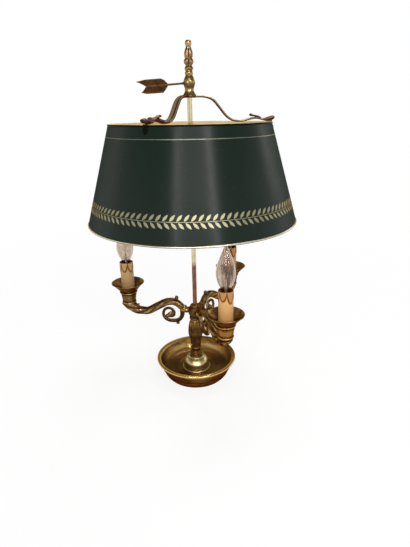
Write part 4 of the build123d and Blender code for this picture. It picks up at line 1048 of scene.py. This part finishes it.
def make_finial():
    """Disc, two tiers of lobes round a core, and a knob."""
    base, tall = FINIAL_BOTTOM_Z, FINIAL_TOP_Z - FINIAL_BOTTOM_Z
    outline = [(ROD_R, base), (5.4, base)]
    outline += flow((5.8, 0.3), (6.8, 2.7), (6.0, 4.8), (4.6, 6.4), steps=5, base=base)
    outline += flow((4.8, 6.9), (7.0, 9.4), (7.9, 11.9), (7.4, 14.4), (5.8, 16.6), (6.5, 18.8), (6.9, 22.4),
                    (6.3, 26.4), (4.9, 30.0), (3.9, 32.2), base=base)
    outline += flow((3.5, 32.9), (4.4, 34.9), (5.0, 37.4), (4.7, 39.6), (3.3, 41.4), (0, tall), base=base)
    low, waist, high = base + 6.6, base + 16.4, base + 32.0

    def relief(angles, radius, height):
        if not low < height < high:
            return 0.0, 0.15
        tier = (height - low) / (waist - low) if height < waist else (height - waist) / (high - waist)
        lobe = np.abs(np.sin(FINIAL_LOBES / 2 * (angles + pi / 2))) ** 0.5
        strength = sin(pi * min(max(tier, 0), 1)) ** 0.5
        return -2.6 * strength * (1 - lobe), np.maximum(strength * (1 - lobe) ** 0.8, 0.35)

    inside = [(0, ROD_TOP_Z + 0.01), (ROD_R, ROD_TOP_Z + 0.01)]
    return turned("finial_lobes", outline + inside, relief, around=144)


def make_collar():
    """Flared collar with a wound bulb that the key goes through."""
    bottom, top, bore = COLLAR_BOTTOM_Z, COLLAR_TOP_Z, ROD_R + COLLAR_PLAY
    outline = [(bore, bottom), (10.2, bottom)]
    outline += flow((10.9, 0.4), (11.2, 1.6), (10.9, 3.0), steps=4, base=bottom)
    outline += flow((10.4, 3.8), (8.4, 6.8), (7.2, 10.0), (7.1, 13.0), (8.3, 16.6), (9.3, 21.4),
                    (8.6, 25.4), (6.6, 30.0), (5.5, 31.8), base=bottom)
    outline += flow((5.5, 32.4), (6.3, 34.6), (6.0, 36.6), (5.4, 37.6), steps=5, base=bottom)
    outline += [(5.4, top), (bore, top)]

    def relief(angles, radius, height):
        low, high = bottom + 12, bottom + 31
        # painted light by height: painted highlights on the flare and the bulb's upper half, painted shade at
        # the bottom edge, the waist and the bulb's lower half
        painted_shading = float(np.interp(height - bottom, [2, 5, 10, 15, 20, 25, 30, 33],
                                  [0.80, 0.25, 0.15, 0.72, 0.66, 0.12, 0.5, 0.3]))
        if not low < height < high:
            return 0.0, painted_shading
        strength = sin(pi * (height - low) / (high - low)) ** 0.5
        groove = np.abs(np.sin(3 * angles + (height - low) * 0.16)) ** 0.8
        return -0.8 * strength * (1 - groove), np.maximum(strength * (1 - groove) ** 1.5, painted_shading)

    return turned("collar", outline, relief, around=120)


# ---- Shade carrier, built toward +X ----
def by_rim(*pairs):
    """Points from how far they lie inward of the shade's rim and above it."""
    return [(SHADE_TOP_R - inward, SHADE_TOP_Z + above) for inward, above in pairs]


def strap_relief(angles, share):
    """Lengthwise ridges along the strap's upper face, with painted light: the upper face lighter, one edge
    and the underside painted in shade.
    """
    ridge = np.abs(np.cos(3.5 * (angles - pi / 2)))
    # painted light: the upper face is lighter, and one edge is painted in shade
    above = np.clip(np.sin(angles) * 1.6 + 0.4, 0, 1)
    shaded = np.clip(0.5 + 2.5 * np.cos(angles), 0, 1)
    patina_and_shade = 0.95 - above * (0.95 - 0.4 * (1 - ridge) ** 1.2 - 0.75 * shaded)
    return 1 - 0.08 * above * (1 - ridge), np.clip(patina_and_shade, 0, 1)


def make_strap():
    root = COLLAR_BOTTOM_Z
    path = flow((6.5, root + 1.9), (25.0, root + 1.2), (37.5, root - 3.7), (46.0, root - 12.7),
                *by_rim((73.6, 9.8), (63.9, 3.5), (53.1, 1.7), (44.1, 2.1), (35.6, 4.0), (24.1, 5.5),
                        (14.1, 3.4), (6.1, 1.6), (-2.0, 1.6)), steps=8)
    widths = [5.6, 5.8, 5.8, 5.7, 5.6, 5.3, 4.9, 4.6, 4.3, 4.2, 4.2, 4.0, 3.8]
    heights = [1.7, 1.8, 2.0, 2.1, 2.0, 1.9, 1.8, 1.7, 1.6, 1.6, 1.5, 1.4, 1.3]
    return swept("strap_bar", path, widths, heights, strap_relief, around=40)


def cast_relief(angles, share):
    """Petals of a cast bud: paler above and darker below as painted light, and dark between them."""
    petal = np.abs(np.cos(2.5 * (angles - pi / 2)))
    # painted light: the upper side is paler
    above = np.clip(np.sin(angles), 0, 1)
    return 1 - 0.12 * (1 - petal), np.clip(0.94 - 0.45 * above * petal, 0, 1)


def make_strap_leaf():
    """Cast leaf that points inward from the strap's hump, with a knob at its end."""
    path = flow(*by_rim((35.4, 11.3), (33.0, 10.2), (29.0, 9.2), (24.5, 8.4), (20.0, 7.0), (16.5, 5.4)),
                steps=8)
    widths = [1.2, 3.6, 3.4, 3.0, 4.0, 4.8, 4.6, 3.0]
    heights = [1.0, 2.3, 2.0, 1.5, 1.6, 1.7, 1.5, 1.0]
    return swept("strap_leaf", path, widths, heights, cast_relief, around=36)


def make_strap_bud():
    """Bud that opens over the rim at the strap's end."""
    path = flow(*by_rim((14.5, 3.9), (10.0, 3.5), (5.0, 4.0), (0.0, 4.9), (-4.0, 6.0), (-6.4, 6.9)),
                steps=7)
    widths = [3.4, 4.4, 5.2, 6.2, 7.0, 7.2, 5.4, 1.4]
    heights = [1.2, 1.8, 2.4, 3.0, 3.5, 3.5, 2.4, 0.8]
    return swept("strap_bud", path, widths, heights, cast_relief, around=36)


LIP_LENGTH = 13.4


def make_lip():
    """Flat pointed hook that holds the rim from outside, coloured near-black: painted shade for the dark
    shadow below each strap's end.
    """
    run, drop = SHADE_BOTTOM_R - SHADE_TOP_R, SHADE_TOP_Z - SHADE_BOTTOM_Z
    slant = hypot(run, drop)
    path = [(SHADE_TOP_R + 0.4 + run / slant * along, SHADE_TOP_Z + 1.0 - drop / slant * along)
            for along in np.linspace(0, LIP_LENGTH, 9)]
    return swept("strap_lip", path, [3.5, 3.5, 3.3, 2.6, 0.9], [1.1, 1.1, 1.1, 1.1, 0.7], evenly(1.0),
                 around=20)


def dress_carrier():
    dress(make_collar(), "carrier", "antique_brass", "carrier", "carrier_collar")
    strap = joined("strap", [make_strap(), make_strap_leaf(), make_strap_bud()])
    lip = make_lip()
    for place in STRAP_PLACES:
        turn = facing(STRAP_AZIMUTHS[place])
        dress(copied(strap, f"strap_{place}", turn), "strap", "antique_brass", "carrier",
              f"carrier_arm_{place}")
        # the hooks take the near-black bead paint as painted shade
        dress(copied(lip, f"strap_hook_{place}", turn), "dark_bead", "antique_brass", "carrier")
    remove(strap)
    remove(lip)


# ---- Arrow key ----
KEY_DROOP = 3.9            # degrees
KEY_LENGTH = 83.0
KEY_NOTCH = 15.0
KEY_STAGGER = 6.8
FLETCH_START = 33.5
FLETCH_THICK = 1.1         # half the thickness of its rim and midrib
FLETCH_THIN = 0.85         # and at the bottom of an engraved line between its barbs
BARB_HIGH = 0.2


def make_key():
    """Shank and flat fletching with engraved barbs, built toward +X and laid in the collar."""
    radii = [1.9, 1.9, 1.5, 1.5, 1.5]
    shaft = swept("key_shaft", [(4.0, 0), (11.3, 0), (11.4, 0), (20, 0), (38, 0)], radii, radii, around=20)
    start, notch = FLETCH_START, KEY_LENGTH - KEY_NOTCH
    upper_x = (start, start + 5, start + 10.5, notch, KEY_LENGTH)
    upper_y = (1.5, 7.3, 9.9, 10.1, 8.0)
    lower_x = (start, start + 4, start + 8.5, notch, KEY_LENGTH - KEY_STAGGER)
    lower_y = (1.5, 6.8, 11.0, 10.6, 8.3)
    columns = 60
    points, marks = [], []
    rows = np.linspace(-1, 1, 31)
    for share in np.linspace(0, 1, columns):
        for v in rows:
            end = KEY_LENGTH if v > 0 else KEY_LENGTH - KEY_STAGGER
            x = start + (notch + (end - notch) * abs(v) - start) * share
            y = v * (np.interp(x, upper_x, upper_y) if v > 0 else np.interp(x, lower_x, lower_y))
            barb = abs(sin((x * 1.6 - abs(y) * 2.2) * 0.9))
            edge = abs(v) > 0.86 or abs(v) < 0.10 or share > 0.95
            for side in (-1, 1):
                points.append((x, side * (FLETCH_THICK if edge else FLETCH_THIN + BARB_HIGH * barb), y))
                marks.append(0.45 if edge else 0.62 + 0.38 * (1 - barb) ** 1.5)
    width = len(rows) * 2
    faces = []
    for column in range(columns - 1):
        for row in range(len(rows) - 1):
            for side in (0, 1):
                a = column * width + row * 2 + side
                b, c, d = a + 2, a + 2 + width, a + width
                faces.append((a, b, c, d) if side else (a, d, c, b))
        for row in (0, len(rows) - 1):
            a = column * width + row * 2
            faces.append((a, a + 1, a + 1 + width, a + width))
    for column in (0, columns - 1):
        for row in range(len(rows) - 1):
            a = column * width + row * 2
            faces.append((a, a + 1, a + 3, a + 2))
    fletch = make_object("key_fletch", points, faces, {"patina_and_shade": marks})
    key = joined("key", [shaft, fletch])
    droop = Matrix.Rotation(radians(KEY_DROOP), 4, "Y")
    lift = Matrix.Translation((0, 0, COLLAR_BULB_Z * MM))
    key.data.transform(facing(azimuth_of(middle("arrow_key"))) @ lift @ droop)
    return key


# ---- Shade ----
TOP_BEAD_R = 1.3
BOTTOM_BEAD_R = 1.5
WALL_RUN = (SHADE_BOTTOM_R - BOTTOM_BEAD_R) - (SHADE_TOP_R - TOP_BEAD_R)
WALL_DROP = (SHADE_TOP_Z - TOP_BEAD_R) - (SHADE_BOTTOM_Z + BOTTOM_BEAD_R)
WALL_SLANT = hypot(WALL_RUN, WALL_DROP)
WALL_MARGIN = 0.5          # the sheet ends this far inside the middle of each bead
SHEET = 0.8
SHADE_ROUND = 256          # faces round the shade


def on_wall(down, out):
    """(radius, height) at a distance down the wall from the top bead and out from its middle."""
    radius = SHADE_TOP_R - TOP_BEAD_R + (WALL_RUN * down + WALL_DROP * out) / WALL_SLANT
    height = SHADE_TOP_Z - TOP_BEAD_R + (-WALL_DROP * down + WALL_RUN * out) / WALL_SLANT
    return radius, height


def mark_inside(piece, limit):
    """Marks the points that lie nearer the axis than limit gives for their height, in millimetres."""
    inside = piece.data.attributes.new("inside", "FLOAT", "POINT")
    for vertex, value in zip(piece.data.vertices, inside.data):
        value.value = float(hypot(vertex.co.x, vertex.co.y) / MM < limit(vertex.co.z / MM))


def make_shell():
    """The painted cone, with its inner face marked."""
    start = make_object("shade", [(0, 0, 0), (1, 0, 0), (0, 1, 0)], [(0, 1, 2)])
    top_r, top_z = on_wall(WALL_MARGIN, -SHEET / 2)
    bottom_r, bottom_z = on_wall(WALL_SLANT - WALL_MARGIN, -SHEET / 2)
    shell = apply_tree(start, CONE_WALL_TREE, {
        "Faces round": SHADE_ROUND, "Rows": 16, "Bottom radius": bottom_r * MM,
        "Top radius": top_r * MM, "Height": (top_z - bottom_z) * MM, "Bottom height": bottom_z * MM,
        "Sheet": SHEET * MM, "Material": FINISH["enamel"],
    })

    def middle_of_sheet(height):
        down = (on_wall(0, 0)[1] - height) * WALL_SLANT / WALL_DROP
        return on_wall(down, 0)[0]

    mark_inside(shell, middle_of_sheet)
    return shell


LEAF_PAIRS = 105
BAND_UP = 34.0             # the laurel's stem, up the wall from the bottom bead
BAND_DOWN = WALL_SLANT - BAND_UP
LEAF_LENGTH = 12.0
LEAF_WIDTH = 4.3
# A leaf's outline, as shares of its length and its width.
LEAF_SHAPE = ((0.0, 0.0), (0.2, 0.62), (0.45, 1.0), (0.7, 0.82), (0.9, 0.36), (1.0, 0.0))
LEAF_BACK = 3.0            # the upper leaf starts this far behind the pair's middle
LEAF_SHIFT = 2.2           # and the lower one this much further on
LEAF_STALK = 1.2
TWIG_HALF = 0.35
GILT_THICKNESS = 0.12
GILT_LINE_DOWN = 18.0
GILT_LINE_HALF = 0.45


def wall_point(along, down, out):
    """A point on the wall at azimuth zero: along its round, down from the top bead, out from the sheet."""
    radius, height = on_wall(down, SHEET / 2 + out)
    angle = along / radius
    return (radius * sin(angle), -radius * cos(angle), height)


def make_laurel_pair():
    """Two leaves, above and below a short stretch of stem, lying on the wall."""
    pitch = 2 * pi * on_wall(BAND_DOWN, 0)[0] / LEAF_PAIRS
    points, faces = [], []

    def add_patch(outline):
        first = len(points)
        for out in (0.0, GILT_THICKNESS):
            points.extend(wall_point(along, BAND_DOWN + down, out) for along, down in outline)
        count = len(outline)
        faces.append(tuple(first + count + index for index in range(count)))
        for index in range(count):
            beside = (index + 1) % count
            faces.append((first + index, first + beside, first + count + beside, first + count + index))

    add_patch([(-pitch / 2, -TWIG_HALF), (pitch / 2, -TWIG_HALF), (pitch / 2, TWIG_HALF),
               (-pitch / 2, TWIG_HALF)])
    half_leaf = [(share, width / 2) for share, width in LEAF_SHAPE]
    leaf = half_leaf + [(share, -width) for share, width in half_leaf[-2:0:-1]]
    for side, lean, shift in ((-1, radians(50), 0.0), (1, radians(46), LEAF_SHIFT)):
        ahead = (cos(lean), side * sin(lean))
        across = (-ahead[1], ahead[0])
        add_patch([(shift - LEAF_BACK + ahead[0] * (LEAF_STALK + share * LEAF_LENGTH)
                    + across[0] * width * LEAF_WIDTH,
                    ahead[1] * (LEAF_STALK + share * LEAF_LENGTH) + across[1] * width * LEAF_WIDTH)
                   for share, width in leaf])
    return make_object("laurel_band", points, faces)


def make_gilt_line():
    """Thin gold line near the top of the shade."""
    half = GILT_LINE_HALF
    corners = [on_wall(GILT_LINE_DOWN + along, SHEET / 2 + out) for along, out in
               ((-half, 0.0), (half, 0.0), (half, GILT_THICKNESS), (-half, GILT_THICKNESS))]
    return turned("gilt_line", corners, around=SHADE_ROUND)


def make_bead(name, node, radius):
    """Rolled edge of the shade, with its inner side marked, and its underside marked for painted shade."""
    low, high = span(node)
    centre = (low.z + high.z) / 2

    def relief(angles, ring, height):
        # painted shade: darker toward the underside of the bead
        return 0.0, float(np.clip((centre - height) / (0.25 * radius), 0, 1))

    bead = turned(name, arc(high.x - radius, centre, radius, 0, 360, 16)[:-1], relief, around=SHADE_ROUND)
    mark_inside(bead, lambda height: high.x - radius * 1.2)
    return bead


def dress_shade():
    dress(make_shell(), "enamel", "shade_enamel", "carrier", "shade_shell")
    laurel = repeated(make_laurel_pair(), LEAF_PAIRS, FINISH["gold_leaf"])
    dress(laurel, "gold_leaf", "gilt_bead", "carrier")
    dress(make_gilt_line(), "gilt_line", "gilt_bead", "carrier")
    top_bead = make_bead("top_bead", "shade_top_bead", TOP_BEAD_R)
    dress(top_bead, "dark_bead", "shade_bead", "carrier", "shade_top_bead")
    bottom_bead = make_bead("bottom_bead", "shade_bottom_bead", BOTTOM_BEAD_R)
    dress(bottom_bead, "rolled_gilt", "gilt_bead", "carrier", "shade_bottom_bead")


# ---- CAD nodes that stay ----
def dress_cad_nodes():
    """Finishes for the nodes that keep their CAD shape."""
    # The shade screws take the near-black bead paint as painted shade, like the hooks.
    plain = {"base_weight": "iron", "felt_pad": "felt", "inlet_bushing": "phenolic", "base_washer": "wire",
             "base_nut": "wire", "stem_tube": "wire", "shade_nuts": "wire", "shade_screws": "dark_bead"}
    for place in PLACES:
        plain[f"socket_nipple_{place}"] = "wire"
        plain[f"lamp_socket_{place}"] = "phenolic"
        plain[f"bulb_mount_{place}"] = "wire"
    for node, finish in plain.items():
        coat(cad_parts[node], finish)


# ---- Studio ----
FOCAL_PX = 419.3           # focal length for a frame 547 pixels high
FRAME_HIGH_PX = 547
SENSOR_MM = 36.0
CAMERA_PLACE = (0.0, -0.7211, 0.4858)
CAMERA_PITCH = 20.97       # degrees below level
CAMERA_YAW = 1.58          # degrees toward +X
CAMERA_ROLL = -0.94        # degrees
FLOOR_HALF = 12.0          # metres
CEILING_FROM, CEILING_FULL = 0.24, 0.50    # the mirrored ceiling dims between these heights of a ray
AIM_HEIGHT = 0.3           # metres, where the lights point
SOFTBOXES = (              # name, azimuth, elevation, distance, width, height and power
    ("window_left", -17.5, 27, 2.6, 0.12, 1.3, 10),
    ("window_middle", 3.0, 27, 2.7, 1.7, 1.3, 22),
    ("window_right", 23.5, 27, 2.6, 0.14, 1.3, 14),
    ("window_side", 118, 14, 2.4, 0.5, 0.6, 4),
    ("ceiling", 150, 68, 2.6, 1.2, 1.0, 26),
)


def make_camera():
    pitch, yaw, roll = radians(CAMERA_PITCH), radians(CAMERA_YAW), radians(CAMERA_ROLL)
    ahead = Vector((sin(yaw) * cos(pitch), cos(yaw) * cos(pitch), -sin(pitch)))
    right = Vector((cos(yaw), -sin(yaw), 0))
    up = right.cross(ahead)
    right, up = cos(roll) * right + sin(roll) * up, cos(roll) * up - sin(roll) * right
    lens = bpy.data.cameras.new("camera")
    lens.sensor_width = SENSOR_MM
    lens.lens = SENSOR_MM * FOCAL_PX / FRAME_HIGH_PX
    lens.clip_start, lens.clip_end = 0.02, 50
    camera = placed("camera", lens)
    camera.matrix_world = Matrix.Translation(CAMERA_PLACE) @ Matrix((right, up, -ahead)).transposed().to_4x4()
    bpy.context.scene.camera = camera


def seen_rays(tree):
    """1 for the rays that show the background: camera, glossy and transmission rays."""
    path = tree.nodes.new("ShaderNodeLightPath")
    glossy = combine(tree, "MAXIMUM", path.outputs["Is Camera Ray"], path.outputs["Is Glossy Ray"])
    return combine(tree, "MAXIMUM", glossy, path.outputs["Is Transmission Ray"])


def make_floor():
    """Pale floor that glows evenly for the rays that show it, a little less near the lamp."""
    material, tree, shader = new_material("pale_floor")
    fill(shader, Base_Color=(0.88, 0.88, 0.88), Roughness=0.9, Specular_IOR_Level=0.1)
    glow = add(tree, "ShaderNodeEmission", Color=(1, 1, 1), Strength=1.0)
    mix = tree.nodes.new("ShaderNodeMixShader")
    place = tree.nodes.new("ShaderNodeTexCoord")
    distance = tree.nodes.new("ShaderNodeVectorMath")
    distance.operation = "LENGTH"
    feed(distance.inputs[0], place.outputs["Object"])
    share = spread(tree, distance.outputs["Value"], 0.35, 1.3, 0.84, 1.0)
    connect(tree,
            (combine(tree, "MULTIPLY", seen_rays(tree), share), mix.inputs[0]),
            (shader.outputs[0], mix.inputs[1]),
            (glow.outputs[0], mix.inputs[2]),
            (mix.outputs[0], tree.nodes["Material Output"].inputs["Surface"]))
    half = FLOOR_HALF
    corners = [(-half, -half, 0), (half, -half, 0), (half, half, 0), (-half, half, 0)]
    mesh = bpy.data.meshes.new("floor")
    mesh.from_pydata(corners, [], [(0, 1, 2, 3)])
    mesh.materials.append(material)
    floor = placed("floor", mesh)


def make_world():
    """White, but for a dim ceiling in reflections; a plain even level for the light on the lamp."""
    world = bpy.data.worlds.new("studio")
    world.use_nodes = True
    bpy.context.scene.world = world
    tree = world.node_tree
    background = tree.nodes["Background"]
    place = tree.nodes.new("ShaderNodeTexCoord")
    split = add(tree, "ShaderNodeSeparateXYZ", Vector=place.outputs["Generated"])
    path = tree.nodes.new("ShaderNodeLightPath")
    ceiling = spread(tree, split.outputs["Z"], CEILING_FROM, CEILING_FULL)
    overhead = combine(tree, "MULTIPLY", ceiling, path.outputs["Is Glossy Ray"])
    seen = blend(tree, overhead, (1, 1, 1), (0.13, 0.12, 0.11))
    fill(background, Color=blend(tree, seen_rays(tree), (0.52, 0.52, 0.52), seen), Strength=1.0)


def add_softbox(name, azimuth, elevation, distance, width, height, power):
    """A rectangular light that faces the middle of the lamp."""
    light = bpy.data.lights.new(name, "AREA")
    light.shape = "RECTANGLE"
    light.size, light.size_y = width, height
    light.energy = power
    aim = Vector((0, 0, AIM_HEIGHT))
    a, e = radians(azimuth), radians(elevation)
    back = Vector((sin(a) * cos(e), -cos(a) * cos(e), sin(e)))
    turn = back.to_track_quat("Z", "Y").to_matrix().to_4x4()
    placed(name, light).matrix_world = Matrix.Translation(aim + back * distance) @ turn


def make_studio():
    make_camera()
    make_floor()
    make_world()
    for softbox in SOFTBOXES:
        add_softbox(*softbox)
    bpy.context.scene.view_settings.view_transform = "Standard"


dress_base()
dress_candles()
dress(make_rod(), "rod", "rod_brass", "rod", "shade_rod")
dress(make_finial(), "carrier", "antique_brass", "rod", "finial")
dress_carrier()
dress(make_key(), "key", "antique_brass", "key", "arrow_key")
dress_shade()
dress_cad_nodes()
make_studio()
